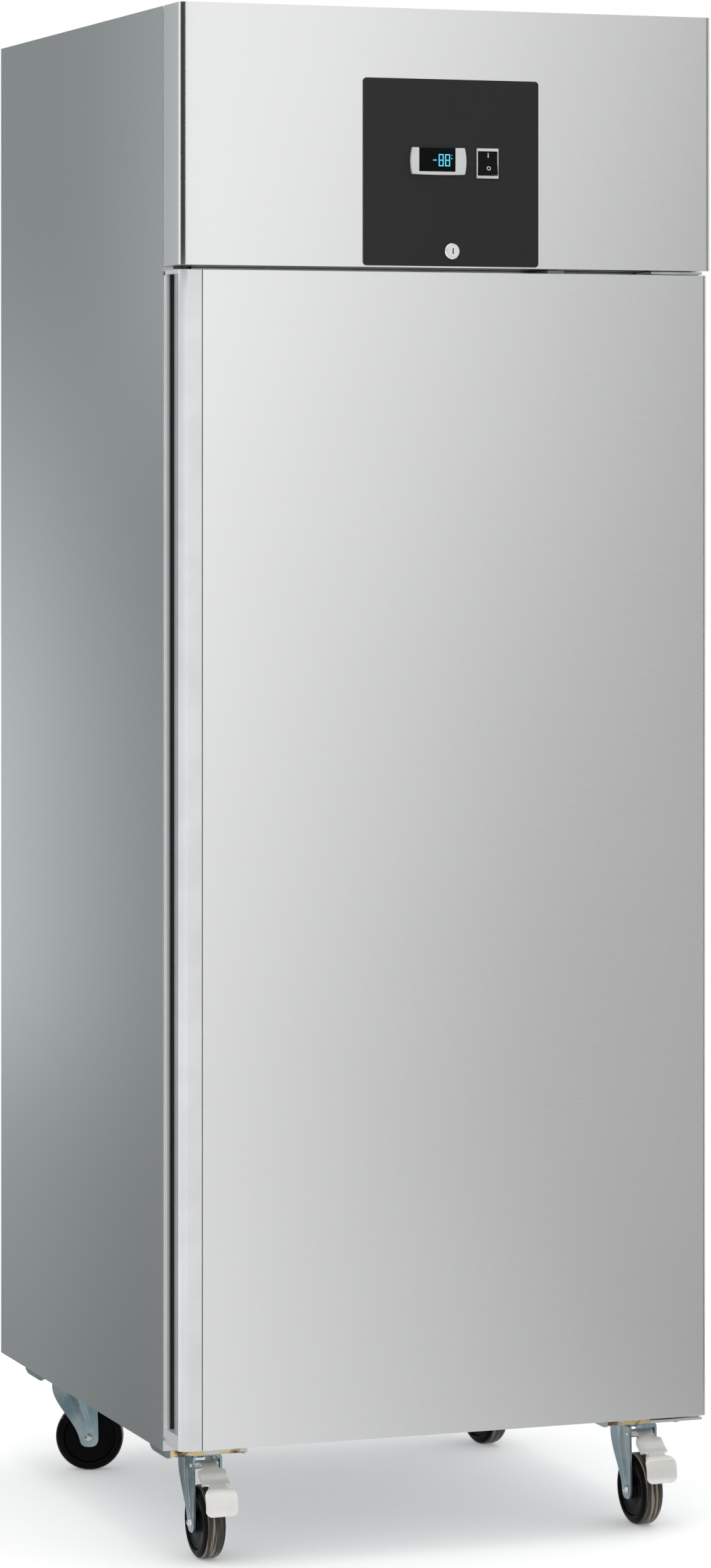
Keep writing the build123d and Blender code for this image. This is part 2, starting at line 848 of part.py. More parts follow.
def electrical_box():
    """The box on the deck that takes the supply inlet through the back panel."""
    x0 = inlet_x - box_width / 2
    y1 = back_y - sheet
    box = block(x0, x0 + box_width, y1 - box_depth, y1, deck_z, deck_z + box_height)
    box = fillet(box.edges().filter_by(Axis.Z), box_corner)
    box += bar_y(inlet_radius, inlet_x, inlet_z, y1 - sheet, back_y)
    return box - bar_y(inlet_bore, inlet_x, inlet_z, back_y - box_depth / 2, back_y)


# Door hinges and switch

top_plate_z = door_top_z + hinge_plate_gap
bottom_plate_z = base_z + hinge_floor_gap + hinge_plate


def hinge_plate_block(z0, z1):
    """A hinge bracket's flat plate, from the cabinet's face to past the pin."""
    x1 = hinge_x + hinge_plate_end
    return block(x1 - hinge_plate_length, x1, hinge_y - hinge_plate_reach, cabinet_y, z0, z1)


def hinge_leg_block(z0, z1):
    """A hinge bracket's leg against the cabinet's face."""
    x1 = hinge_x + hinge_plate_end
    return block(x1 - hinge_plate_length, x1, cabinet_y - hinge_leg, cabinet_y, z0, z1)


def hinge_brackets():
    """The top and the bottom bracket, each with its pin."""
    top = hinge_plate_block(top_plate_z, top_plate_z + hinge_plate)
    top += hinge_leg_block(top_plate_z + hinge_plate - hinge_leg_height, top_plate_z + hinge_plate)
    top += bar_z(hinge_pin_radius, hinge_x, hinge_y, top_plate_z - hinge_pin_length, top_plate_z)
    bottom = hinge_plate_block(bottom_plate_z - hinge_plate, bottom_plate_z)
    bottom += hinge_leg_block(bottom_plate_z - hinge_plate, bottom_plate_z - hinge_plate + hinge_leg_height)
    bottom += bar_z(hinge_pin_radius, hinge_x, hinge_y, bottom_plate_z, bottom_plate_z + hinge_pin_length)
    return group([top, bottom])


def bush_pocket(edge_z, seat_z):
    """The space in the door that a bush fills, from the door's edge past the pin's end."""
    radius = hinge_pin_radius + shaft_clearance + bush_wall
    inward = 1 if seat_z < edge_z else -1
    end = seat_z + inward * (hinge_pin_length + running_gap + bush_floor)
    return bar_z(radius, hinge_x, hinge_y, min(edge_z, end), max(edge_z, end))


def bush(edge_z, seat_z):
    """A plastic bush in the door's edge, its flange close to the bracket's plate."""
    inward = 1 if seat_z < edge_z else -1
    face = seat_z + inward * running_gap
    flange_radius = hinge_pin_radius + shaft_clearance + bush_flange_wall
    flange = bar_z(flange_radius, hinge_x, hinge_y, min(edge_z, face), max(edge_z, face))
    end = seat_z + inward * (hinge_pin_length + running_gap)
    bore = bar_z(hinge_pin_radius + shaft_clearance, hinge_x, hinge_y, min(face, end), max(face, end))
    return bush_pocket(edge_z, seat_z) + flange - bore


def hinge_bushes():
    """The door's two bushes."""
    return group([bush(door_top_z, top_plate_z), bush(door_bottom_z, bottom_plate_z)])


def door_switch():
    """The flat switch housing over the door, fixed to the cabinet's face."""
    x0 = door_switch_x - door_switch_width / 2
    z0 = door_top_z + door_switch_gap
    return block(x0, x0 + door_switch_width, cabinet_y - door_switch_reach, cabinet_y, z0,
                 z0 + door_switch_height)


# Door

def cam_slot(z0, z1):
    """Room for the lock's cam as it turns down past level z1 and stops above level z0."""
    drop = lock_z - z1 - cam_width / 2
    arm = cam_length - cam_width / 2
    far = lock_x + sqrt(arm ** 2 - drop ** 2) + cam_width / 2 + keeper_end_gap
    near = lock_x - cam_width / 2 - keeper_end_gap
    return block(near, far, cam_y - keeper_side_gap, cam_y + cam_sheet + keeper_side_gap, z0, z1)


def keeper_slot():
    """The slot in the door's top edge that the lock's cam drops into."""
    return cam_slot(lock_z - cam_length - keeper_end_gap, door_top_z)


def door_outline(inset):
    """The door's plan behind its face, with the hinge-side front corner rounded."""
    x0 = grip_x + door_joint + inset
    x1 = door_right_x - inset
    y0 = front_y + inset
    face = outline((x0, y0), (x1, y0), (x1, door_back_y), (x0, door_back_y))
    corner = [v for v in face.vertices() if v.X > hinge_x and v.Y < hinge_y]
    return fillet(corner, door_corner - inset)


def door_skin():
    """The stainless face with its folded top, bottom, hinge-side and joint edges."""
    outer = Pos(0, 0, door_bottom_z) * extrude(door_outline(0), door_top_z - door_bottom_z)
    inner_height = door_top_z - door_bottom_z - 2 * sheet
    inner = Pos(0, 0, door_bottom_z + sheet) * extrude(door_outline(sheet), inner_height)
    x0 = grip_x + door_joint
    opening = block(x0, x0 + sheet, front_y + door_return, door_back_y, door_bottom_z, door_top_z)
    skin = outer - inner - opening - keeper_slot()
    return skin - bush_pocket(door_top_z, top_plate_z) - bush_pocket(door_bottom_z, bottom_plate_z)


def door_foam():
    """The door's insulation, up to the grip profile."""
    z0 = door_bottom_z + sheet
    z1 = door_top_z - sheet
    core = Pos(0, 0, z0) * extrude(door_outline(sheet), z1 - z0)
    core &= block(left_x, right_x, front_y, door_back_y - liner_sheet, z0, z1)
    core += block(grip_x, grip_x + door_joint + 2 * sheet, front_y + door_return, door_back_y - liner_sheet,
                  z0, z1)
    core -= keeper_slot()
    return core - bush_pocket(door_top_z, top_plate_z) - bush_pocket(door_bottom_z, bottom_plate_z)


def door_liner():
    """The inner face of the door."""
    return block(grip_x, door_right_x - sheet, door_back_y - liner_sheet, door_back_y,
                 door_bottom_z + sheet, door_top_z - sheet)


def gasket_ring(margin, width, y0, y1):
    """One ring of the gasket, margin in from its outer edge."""
    x0 = left_x + gasket_left_inset + margin
    x1 = hinge_x - gasket_pivot_margin - margin
    z0 = door_bottom_z + gasket_inset + margin
    z1 = door_top_z - gasket_inset - margin
    outer = block(x0, x1, y0, y1, z0, z1)
    return outer - block(x0 + width, x1 - width, y0, y1, z0 + width, z1 - width)


def door_gasket():
    """The magnetic gasket: a flat foot on the door and a narrower bulb at the frame."""
    foot_y = door_back_y + gasket_base
    foot = gasket_ring(0, gasket_width, door_back_y, foot_y)
    bulb = gasket_ring((gasket_width - gasket_bulb) / 2, gasket_bulb, foot_y, cabinet_y - running_gap)
    return foot + bulb


def grip_body():
    """The grip profile's plan with its round front edge, before the finger recess is cut."""
    face = outline((left_x, front_y), (grip_x, front_y), (grip_x, door_back_y), (left_x, door_back_y))
    corner = [v for v in face.vertices() if v.X < grip_x and v.Y < hinge_y]
    return fillet(corner, grip_bevel)


def grip_recess():
    """The plan of the finger recess, open to the side, with a round inner rear corner."""
    mouth = front_y + grip_lip_depth
    root = front_y + grip_lip_root
    edge = left_x + grip_lip_edge
    deep = grip_x - grip_wall
    rear = door_back_y - grip_rear_land
    face = outline((left_x, mouth), (edge, mouth), (edge, root), (deep, root), (deep, rear), (left_x, rear))
    corner = [v for v in face.vertices() if v.X > edge and v.Y > mouth]
    return fillet(corner, grip_rear_curve)


def grip_profile():
    """The full-height grip at the opening edge."""
    z0 = door_bottom_z + grip_cap_bottom_height
    z1 = door_top_z - grip_cap_top_height
    return Pos(0, 0, z0) * extrude(grip_body() - grip_recess(), z1 - z0)


def grip_end_caps():
    """The moulded caps that close the grip profile."""
    top = Pos(0, 0, door_top_z - grip_cap_top_height) * extrude(grip_body(), grip_cap_top_height)
    bottom = Pos(0, 0, door_bottom_z) * extrude(grip_body(), grip_cap_bottom_height)
    return group([top, bottom])


# Header

def header_outline(inset):
    """The header's plan, open at the back, with rounded front corners."""
    x = right_x - inset
    y0 = front_y + inset
    face = outline((-x, y0), (x, y0), (x, header_back_y), (-x, header_back_y))
    corners = [v for v in face.vertices() if v.Y < hinge_y]
    return fillet(corners, header_corner - inset)


def control_cutters():
    """Cutters for the controller, the switch and the lock through the header's face."""
    y0 = plate_y - sheet
    y1 = front_y + 2 * sheet
    z = body_height - controller_drop
    w = controller_width / 2 - controller_body_margin
    h = controller_height / 2 - controller_body_margin
    cutters = [block(controller_x - w, controller_x + w, y0, y1, z - h, z + h)]
    z = body_height - switch_drop
    w = switch_width / 2 - switch_lip
    h = switch_height / 2 - switch_lip
    cutters.append(block(switch_x - w, switch_x + w, y0, y1, z - h, z + h))
    cutters.append(bar_y(lock_body_radius, lock_x, lock_z, y0, y1))
    return cutters


def header_panel():
    """The folded header, rolled round the hinge rod between the cover's knuckles."""
    outer = Pos(0, 0, header_z) * extrude(header_outline(0), header_height)
    inner = Pos(0, 0, header_z + sheet) * extrude(header_outline(sheet), header_height - 2 * sheet)
    shell = outer - inner
    shell -= block(left_x, right_x, flap_y, header_back_y, flap_z, body_height)
    shell += bar_x(flap_curl_radius, flap_y, flap_z, left_x, right_x)
    for x in knuckle_places():
        half = flap_knuckle_width / 2 + flap_knuckle_gap
        shell -= block(x - half, x + half, flap_y - flap_flange_setback, header_back_y,
                       flap_z - flap_curl_radius, body_height)
    end = right_x - flap_end_inset + running_gap
    shell -= bar_x(flap_rod_radius + shaft_clearance, flap_y, flap_z, -end, end)
    return shell - cam_slot(header_z, header_z + sheet) - control_cutters()


def control_plate():
    """The dark plate on the header's face."""
    middle = Pos(0, header_z + plate_edge + plate_height / 2)
    face = middle * RectangleRounded(plate_width, plate_height, plate_corner)
    return plate_xz(face, plate_y, front_y) - control_cutters()


def controller_window():
    """The dark display window, let into the bezel's face."""
    top = body_height - controller_drop + controller_height / 2 - window_top_edge
    y0 = plate_y - controller_proud
    return block(controller_x - window_width / 2, controller_x + window_width / 2, y0, y0 + window_depth,
                 top - window_height, top)


def controller_bezel():
    """The temperature controller: a bezel with bowed ends on a body behind the header."""
    z = body_height - controller_drop
    half_height = controller_height / 2
    outer = controller_width / 2
    inner = outer - controller_bow
    right = ThreePointArc((inner, half_height), (outer, 0), (inner, -half_height))
    left = ThreePointArc((-inner, -half_height), (-outer, 0), (-inner, half_height))
    top = Line((-inner, half_height), (inner, half_height))
    bottom = Line((inner, -half_height), (-inner, -half_height))
    face = Pos(controller_x, z) * make_face([top.edge(), right.edge(), bottom.edge(), left.edge()])
    bezel = plate_xz(face, plate_y - controller_proud, plate_y)
    front = bezel.faces().sort_by(Axis.Y)[0]
    bezel = chamfer(front.edges(), controller_edge)
    w = outer - controller_body_margin
    h = half_height - controller_body_margin
    body = block(controller_x - w, controller_x + w, plate_y, front_y + controller_body_depth, z - h, z + h)
    return bezel + body - controller_window()


def switch_bezel():
    """The rocker switch's frame and body."""
    z = body_height - switch_drop
    face = Pos(switch_x, z) * RectangleRounded(switch_width, switch_height, switch_corner)
    frame = plate_xz(face, plate_y - switch_proud, plate_y)
    w = switch_width / 2 - switch_lip
    h = switch_height / 2 - switch_lip
    frame += block(switch_x - w, switch_x + w, plate_y, front_y + switch_body_depth, z - h, z + h)
    inside = w - switch_wall
    reach = rocker_radius + running_gap
    frame -= block(switch_x - inside, switch_x + inside, plate_y - switch_proud, rocker_y + rocker_room,
                   z - reach, z + reach)
    return frame - bar_x(rocker_pin_radius + shaft_clearance, rocker_y, z, switch_x - w, switch_x + w)


def rocker():
    """The rocker, resting with its upper half pressed in."""
    z = body_height - switch_drop
    r = rocker_radius
    front = -r * sin(radians(rocker_front_angle))
    end = r * cos(radians(rocker_front_angle))
    back_end = sqrt(r ** 2 - rocker_back ** 2)
    edges = [Line((front, end), (-rocker_valley, 0)).edge(),
             Line((-rocker_valley, 0), (front, -end)).edge(),
             ThreePointArc((front, -end), (0, -r), (rocker_back, -back_end)).edge(),
             Line((rocker_back, -back_end), (rocker_back, back_end)).edge(),
             ThreePointArc((rocker_back, back_end), (0, r), (front, end)).edge()]
    half = switch_width / 2 - switch_lip - switch_wall
    body = prism_x(make_face(edges), -half + running_gap, half - running_gap)
    pin_half = half + switch_wall - running_gap
    body += bar_x(rocker_pin_radius, 0, 0, -pin_half, pin_half)
    return Pos(switch_x, rocker_y, z) * Rot(X=-rocker_tilt) * body


def lock_housing():
    """The lock's fixed ring and body."""
    ring = bar_y(lock_ring_radius, lock_x, lock_z, plate_y - lock_ring_proud, plate_y)
    front = ring.faces().sort_by(Axis.Y)[0]
    ring = chamfer(front.edges(), lock_ring_edge)
    ring += bar_y(lock_body_radius, lock_x, lock_z, plate_y, front_y + lock_body_depth)
    bore = lock_barrel_radius + shaft_clearance
    return ring - bar_y(bore, lock_x, lock_z, plate_y - lock_ring_proud, front_y + lock_body_depth)


def lock_barrel():
    """The key barrel with the cam that drops into the door, at rest lying to the right."""
    front = front_y - lock_proud
    barrel = bar_y(lock_barrel_radius, lock_x, lock_z, front, cam_y + cam_sheet)
    barrel -= block(lock_x - lock_slot_width / 2, lock_x + lock_slot_width / 2, front, front + lock_slot_depth,
                    lock_z - lock_slot_height / 2, lock_z + lock_slot_height / 2)
    end = lock_x + cam_length - cam_width / 2
    cam = block(lock_x, end, cam_y, cam_y + cam_sheet, lock_z - cam_width / 2, lock_z + cam_width / 2)
    return barrel + cam + bar_y(cam_width / 2, end, lock_z, cam_y, cam_y + cam_sheet)


# Castors

def castor_place(corner):
    """A castor's kingpin on the floor plan."""
    x = -castor_x if corner[1] == "l" else castor_x
    y = castor_front_y if corner[0] == "f" else castor_rear_y
    return Pos(x, y, 0)


def castor_turn(corner):
    """A castor's place with its swivel angle, the wheel trailing along local -Y."""
    return castor_place(corner) * Rot(Z=castor_swivels[corner])


def bolt_places():
    """The castor bolts' places on the floor plan."""
    places = []
    for corner in castor_swivels:
        middle = castor_place(corner).position
        for sx in (-1, 1):
            for sy in (-1, 1):
                places.append((middle.X + sx * castor_bolt_x, middle.Y + sy * castor_bolt_y))
    return places


def castor_plate():
    """A pressed top plate with turned-down edges, the upper race and the kingpin."""
    z0 = base_z - castor_plate_sheet
    face = RectangleRounded(castor_plate_width, castor_plate_depth, castor_plate_corner)
    hollow = RectangleRounded(castor_plate_width - 2 * castor_plate_sheet,
                              castor_plate_depth - 2 * castor_plate_sheet,
                              castor_plate_corner - castor_plate_sheet)
    plate = Pos(0, 0, z0 - castor_lip) * extrude(face, castor_lip + castor_plate_sheet)
    plate -= Pos(0, 0, z0 - castor_lip) * extrude(hollow, castor_lip)
    plate += bar_z(race_radius, 0, 0, race_z, z0)
    head_z = crown_z - fork_crown_height - running_gap
    plate += bar_z(kingpin_radius, 0, 0, head_z, race_z)
    plate += bar_z(kingpin_head_radius, 0, 0, head_z - kingpin_head_height, head_z)
    for sx in (-1, 1):
        for sy in (-1, 1):
            plate -= bar_z(castor_bolt_radius, sx * castor_bolt_x, sy * castor_bolt_y, z0, base_z)
    return plate


def castor_plates():
    """The four top plates under the base."""
    return group([castor_place(corner) * castor_plate() for corner in castor_swivels])


def castor_bolts():
    """The bolts that hold the plates to the base."""
    z0 = base_z - castor_plate_sheet
    bolts = []
    for x, y in bolt_places():
        head = Pos(x, y, z0 - castor_bolt_head_height) * extrude(
            RegularPolygon(castor_bolt_head_radius, hexagon_sides), castor_bolt_head_height)
        bolts.append(head + bar_z(castor_bolt_radius, x, y, z0, base_z + sheet))
    return group(bolts)


def fork_leg(side):
    """One leg of a fork, from the crown down past the axle."""
    high = crown_z - fork_crown_height / 2
    face = outline((fork_rear, high), (-fork_front, high), (-castor_trail - fork_toe_radius, wheel_radius),
                   (-castor_trail + fork_toe_radius, wheel_radius), (fork_rear, fork_shoulder))
    face += Pos(-castor_trail, wheel_radius) * Circle(fork_toe_radius)
    x0, x1 = sorted((side * fork_gap / 2, side * (fork_gap / 2 + fork_sheet)))
    return prism_x(face, x0, x1)


def castor_fork(braked):
    """The swivelling fork; braked ones are bored for the pedal's pin."""
    crown_low = crown_z - fork_crown_height
    fork = bar_z(fork_crown_radius, 0, 0, crown_low, crown_z)
    fork += block(-fork_gap / 2 - fork_sheet, fork_gap / 2 + fork_sheet, -fork_front, fork_rear, crown_low,
                  crown_z)
    fork += [fork_leg(side) for side in (-1, 1)]
    fork -= bar_z(kingpin_radius + shaft_clearance, 0, 0, crown_low, crown_z)
    reach = fork_gap / 2 + fork_sheet
    fork -= bar_x(axle_radius, -castor_trail, wheel_radius, -reach, reach)
    if braked:
        fork -= bar_x(pedal_pin_radius + shaft_clearance, -pedal_pivot_y, pedal_pivot_z, -reach, reach)
    return fork


def castor_axle():
    """The axle bolt with its head and nut."""
    reach = fork_gap / 2 + fork_sheet
    axle = bar_x(axle_radius, -castor_trail, wheel_radius, -reach - axle_head_height, reach + axle_head_height)
    hexagon = extrude(RegularPolygon(axle_head_radius, hexagon_sides), axle_head_height)
    for x in (reach, -reach - axle_head_height):
        axle += Pos(x, -castor_trail, wheel_radius) * Rot(Y=90) * hexagon
    return axle


def wheel_turned(shape):
    """Lays a wheel drawn about Z onto its axle."""
    return Pos(0, -castor_trail, wheel_radius) * Rot(Y=90) * shape


def castor_wheel():
    """The wheel's centre: hub, web and rim."""
    rim_radius = wheel_radius - tyre_wall
    wheel = Cylinder(rim_radius, rim_width) - Cylinder(rim_radius - rim_wall, rim_width)
    wheel += Cylinder(rim_radius - rim_wall / 2, web_sheet)
    wheel += Cylinder(wheel_hub_radius, fork_gap - 2 * running_gap)
    wheel -= Cylinder(axle_radius + shaft_clearance, fork_gap)
    return wheel_turned(wheel)


def castor_tyre():
    """The tyre with its round shoulders."""
    inner = wheel_radius - tyre_wall
    half = wheel_width / 2
    face = outline((inner, -half), (wheel_radius, -half), (wheel_radius, half), (inner, half))
    corners = [v for v in face.vertices() if v.X > inner + tyre_wall / 2]
    return wheel_turned(revolve(Plane.XZ * fillet(corners, tyre_round), Axis.Z))


def pedal_outline():
    """The pedal seen from the front: strap, ears and a broad tongue with round corners."""
    strap = pedal_strap_width / 2
    low = pedal_line[-1][1]
    high = pedal_line[0][1] + pedal_sheet
    face = Pos(0, (low + high) / 2) * Rectangle(2 * strap, high - low)
    ears = pedal_ear_high - pedal_ear_low
    face += Pos(0, pedal_ear_low + ears / 2) * Rectangle(pedal_ear_width, ears)
    tongue = pedal_tongue_high - low
    middle = Pos(0, low + tongue / 2)
    return face + middle * RectangleRounded(pedal_tongue_width, tongue, pedal_tongue_corner)


def brake_pedal():
    """The bent pedal, its pivot barrel and pin, and the shoe that meets the tyre when pressed."""
    corners = [(0, -y, z) for y, z in pedal_line]
    path = FilletPolyline(*corners, radius=pedal_bend)
    heading = Vector(*corners[1]) - Vector(*corners[0])
    start = Plane(origin=corners[0], x_dir=(1, 0, 0), z_dir=heading)
    strip = sweep(start * Rectangle(pedal_tongue_width, pedal_sheet), path=path)
    far = pedal_line[-1][0] + pedal_sheet
    pedal = strip & plate_xz(pedal_outline(), -far, 0)
    half = fork_gap / 2 - running_gap
    pedal += bar_x(pedal_barrel_radius, -pedal_pivot_y, pedal_pivot_z, -half, half)
    reach = fork_gap / 2 + fork_sheet + pedal_pin_proud
    pedal += bar_x(pedal_pin_radius, -pedal_pivot_y, pedal_pivot_z, -reach, reach)
    return pedal + pedal_shoe()


def pedal_shoe():
    """The shoe, placed by turning its braked place on the tyre back to rest."""
    radius = wheel_radius + pedal_shoe_gap
    forward = castor_trail + radius * sin(radians(pedal_shoe_angle)) - pedal_pivot_y
    up = wheel_radius + radius * cos(radians(pedal_shoe_angle)) - pedal_pivot_z
    press = radians(pedal_press)
    y = -pedal_pivot_y - (forward * cos(press) - up * sin(press))
    z = pedal_pivot_z + forward * sin(press) + up * cos(press)
    block_up = Pos(0, 0, pedal_shoe_length / 2) * Box(pedal_shoe_width, pedal_shoe_thickness,
                                                       pedal_shoe_length)
    return Pos(0, y, z) * Rot(X=pedal_shoe_angle - pedal_press) * block_up


# The nodes and their makers

nodes = {
    "side_panel_left": side_panel(),
    "side_panel_right": mirror(side_panel(), about=Plane.YZ),
    "back_panel": back_panel(),
    "base_panel": base_panel(),
    "deck_panel": deck_panel(),
    "top_cover": top_cover(),
    "flap_hinge_rod": flap_hinge_rod(),
    "insulation": insulation(),
    "inner_liner": inner_liner(),
    "shelf_supports": shelf_supports(),
    "shelf_lower": shelf(0),
    "shelf_middle": shelf(1),
    "shelf_upper": shelf(2),
    "evaporator_cover": evaporator_cover(),
    "evaporator_coil": evaporator_coil(),
    "evaporator_fan": evaporator_fan(),
    "fan_motors": fan_motors(),
    "condenser_coil": condenser_coil(),
    "condenser_shroud": condenser_shroud(),
    "condenser_fan": condenser_fan(),
    "compressor": compressor(),
    "refrigerant_pipes": refrigerant_pipes(),
    "electrical_box": electrical_box(),
    "hinge_brackets": hinge_brackets(),
    "door_switch": door_switch(),
    "door_skin": door_skin(),
    "door_foam": door_foam(),
    "door_liner": door_liner(),
    "door_gasket": door_gasket(),
    "grip_profile": grip_profile(),
    "grip_end_caps": grip_end_caps(),
    "hinge_bushes": hinge_bushes(),
    "header_panel": header_panel(),
    "control_plate": control_plate(),
    "controller_bezel": controller_bezel(),
    "controller_window": controller_window(),
    "switch_bezel": switch_bezel(),
    "rocker": rocker(),
    "lock_housing": lock_housing(),
    "lock_barrel": lock_barrel(),
    "castor_plates": castor_plates(),
    "castor_bolts": castor_bolts(),
}

for corner in castor_swivels:
    braked = corner in castor_braked
    place = castor_turn(corner)
    nodes[f"castor_{corner}_fork"] = place * castor_fork(braked)
    nodes[f"castor_{corner}_axle"] = place * castor_axle()
    nodes[f"castor_{corner}_wheel"] = place * castor_wheel()
    nodes[f"castor_{corner}_tyre"] = place * castor_tyre()
    if braked:
        nodes[f"castor_{corner}_pedal"] = place * brake_pedal()

os.makedirs("parts", exist_ok=True)
for name, shape in nodes.items():
    export_step(shape, f"parts/{name}.step")
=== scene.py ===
import bmesh
import bpy
import json
from math import atan2, cos, pi, radians, sin
from mathutils import Matrix, Vector


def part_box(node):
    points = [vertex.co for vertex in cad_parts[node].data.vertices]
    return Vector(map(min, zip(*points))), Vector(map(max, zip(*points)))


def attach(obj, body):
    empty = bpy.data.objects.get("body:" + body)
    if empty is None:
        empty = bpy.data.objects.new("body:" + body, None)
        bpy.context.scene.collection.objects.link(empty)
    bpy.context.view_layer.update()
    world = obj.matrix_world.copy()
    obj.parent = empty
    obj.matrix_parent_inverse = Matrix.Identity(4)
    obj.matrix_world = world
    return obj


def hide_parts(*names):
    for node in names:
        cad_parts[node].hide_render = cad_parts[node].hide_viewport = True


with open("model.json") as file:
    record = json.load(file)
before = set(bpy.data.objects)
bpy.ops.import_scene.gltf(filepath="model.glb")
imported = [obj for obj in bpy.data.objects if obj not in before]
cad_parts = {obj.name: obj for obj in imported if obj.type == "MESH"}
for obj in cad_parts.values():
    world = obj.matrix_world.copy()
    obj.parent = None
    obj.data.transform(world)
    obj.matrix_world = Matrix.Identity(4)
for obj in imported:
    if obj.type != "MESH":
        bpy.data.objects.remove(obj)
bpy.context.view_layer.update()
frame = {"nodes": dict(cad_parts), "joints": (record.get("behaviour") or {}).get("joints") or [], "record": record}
nodes = frame["nodes"]
joints = {joint["name"]: joint for joint in frame["joints"]}
slots = {part["node"]: part["material_slot"] for part in frame["record"]["subparts"]}

# Sizes in metres, in the part's frame
mm = 0.001

# The photograph's frame and the camera fitted to it
image_height = 2322
focal_pixels = 7501.64
horizon_pixel = 658.4
camera_place = (-2.3662, -6.5623, 1.4442)
camera_yaw = radians(19.96)
sensor = 36.0


def link(obj):
    """Puts an object into the scene."""
    bpy.context.scene.collection.objects.link(obj)
    return obj


def add_camera():
    """The photograph's viewpoint: level, turned to the right, shifted down."""
    data = bpy.data.cameras.new("camera")
    data.sensor_width = sensor
    data.lens = focal_pixels / image_height * sensor
    data.shift_y = (horizon_pixel - image_height / 2) / image_height
    camera = link(bpy.data.objects.new("camera", data))
    camera.location = camera_place
    camera.rotation_euler = (radians(90), 0, -camera_yaw)
    bpy.context.scene.camera = camera


# Node helpers

class Graph:
    """Builds a node tree in few words."""

    def __init__(self, tree):
        self.tree = tree
        self.tree.nodes.clear()

    def add(self, kind, inputs=None, **settings):
        """A node with its settings, and the values or links of its inputs."""
        node = self.tree.nodes.new(kind)
        for key, value in settings.items():
            setattr(node, key, value)
        for key, value in (inputs or {}).items():
            self.put(node.inputs[key], value)
        return node

    def put(self, socket, value):
        """Links an output to a socket, or sets the socket's own value."""
        if isinstance(value, bpy.types.Node):
            value = value.outputs[0]
        if isinstance(value, bpy.types.NodeSocket):
            self.tree.links.new(value, socket)
        else:
            socket.default_value = value

    def math(self, operation, a, b=0.0):
        """A math node."""
        return self.add("ShaderNodeMath", {0: a, 1: b}, operation=operation)

    def place(self):
        """The point's place in the part's frame."""
        return self.add("ShaderNodeTexCoord").outputs["Object"]

    def axis(self, name):
        """One coordinate of the point's place."""
        return self.add("ShaderNodeSeparateXYZ", {0: self.place()}).outputs[name]

    def noise(self, scale, detail=2.0, stretch=(1, 1, 1)):
        """Noise over the surface, stretched along the axes."""
        mapping = self.add("ShaderNodeMapping", {"Vector": self.place(), "Scale": stretch})
        noise = self.add("ShaderNodeTexNoise", {"Vector": mapping, "Scale": scale, "Detail": detail})
        return noise.outputs[0]

    def spread(self, value, low, high, at_low=0.0, at_high=1.0, curve="SMOOTHSTEP"):
        """Maps a value from one range to another, along a soft curve or a line."""
        return self.add("ShaderNodeMapRange", {"Value": value, "From Min": low, "From Max": high,
                                               "To Min": at_low, "To Max": at_high},
                        interpolation_type=curve)

    def blend(self, share, a, b):
        """A mix of two colours."""
        node = self.add("ShaderNodeMix", data_type="RGBA")
        self.put(node.inputs["Factor"], share)
        self.put(node.inputs[6], a)
        self.put(node.inputs[7], b)
        return node.outputs[2]

    def relief(self, height, strength, depth, edge):
        """A bumped normal over softly broken edges."""
        soft = self.add("ShaderNodeBevel", {"Radius": edge}, samples=4)
        return self.add("ShaderNodeBump", {"Strength": strength, "Distance": depth, "Height": height,
                                           "Normal": soft})

    def finish(self, color, roughness, normal, **constants):
        """The principled shader and the output."""
        shader = self.add("ShaderNodeBsdfPrincipled")
        self.put(shader.inputs["Base Color"], color)
        self.put(shader.inputs["Roughness"], roughness)
        self.put(shader.inputs["Normal"], normal)
        for key, value in constants.items():
            self.put(shader.inputs[key.replace("_", " ")], value)
        self.surface(shader)

    def surface(self, shader, kind="ShaderNodeOutputMaterial"):
        """The output, fed by a shader."""
        self.tree.links.new(shader.outputs[0], self.add(kind).inputs["Surface"])


def shade(color, factor):
    """A colour made lighter or darker, with an alpha of one."""
    return tuple(min(1.0, channel * factor) for channel in color[:3]) + (1.0,)


materials = {}


def new_material(name):
    """The empty graph of a new material, which is kept by its name."""
    materials[name] = bpy.data.materials.new(name)
    materials[name].use_nodes = True
    return Graph(materials[name].node_tree)


# Materials

# How fast the brush lines change across and along their run, per metre
across_brush = 1100.0
along_brush = 9.0


def brushed_metal(name, color, roughness, along):
    """Sheet with very fine brush lines along one axis and faint clouds."""
    graph = new_material(name)
    stretch = [across_brush] * 3
    stretch[along] = along_brush
    lines = graph.noise(1.0, 3.0, stretch)
    clouds = graph.noise(2.3)
    tone = graph.blend(graph.spread(clouds, 0.3, 0.7), shade(color, 0.985), shade(color, 1.012))
    streaks = graph.blend(graph.spread(lines, 0.3, 0.7), shade(color, 0.988), shade(color, 1.01))
    rough = graph.spread(lines, 0.3, 0.7, roughness * 0.97, roughness * 1.03)
    normal = graph.relief(lines, 0.003, 0.02 * mm, 0.5 * mm)
    graph.finish(graph.blend(0.4, tone, streaks), rough, normal, Metallic=1.0)


def galvanised_sheet(name, color, roughness):
    """Zinc-coated sheet with a faint spangle."""
    graph = new_material(name)
    cells = graph.add("ShaderNodeTexVoronoi", {"Vector": graph.place(), "Scale": 70.0})
    grain = graph.add("ShaderNodeRGBToBW", {0: cells.outputs["Color"]})
    mixed = graph.blend(grain, shade(color, 0.92), shade(color, 1.05))
    rough = graph.spread(grain, 0.0, 1.0, roughness * 0.88, roughness * 1.12)
    normal = graph.relief(graph.noise(900.0), 0.06, 0.05 * mm, 0.4 * mm)
    graph.finish(mixed, rough, normal, Metallic=1.0)


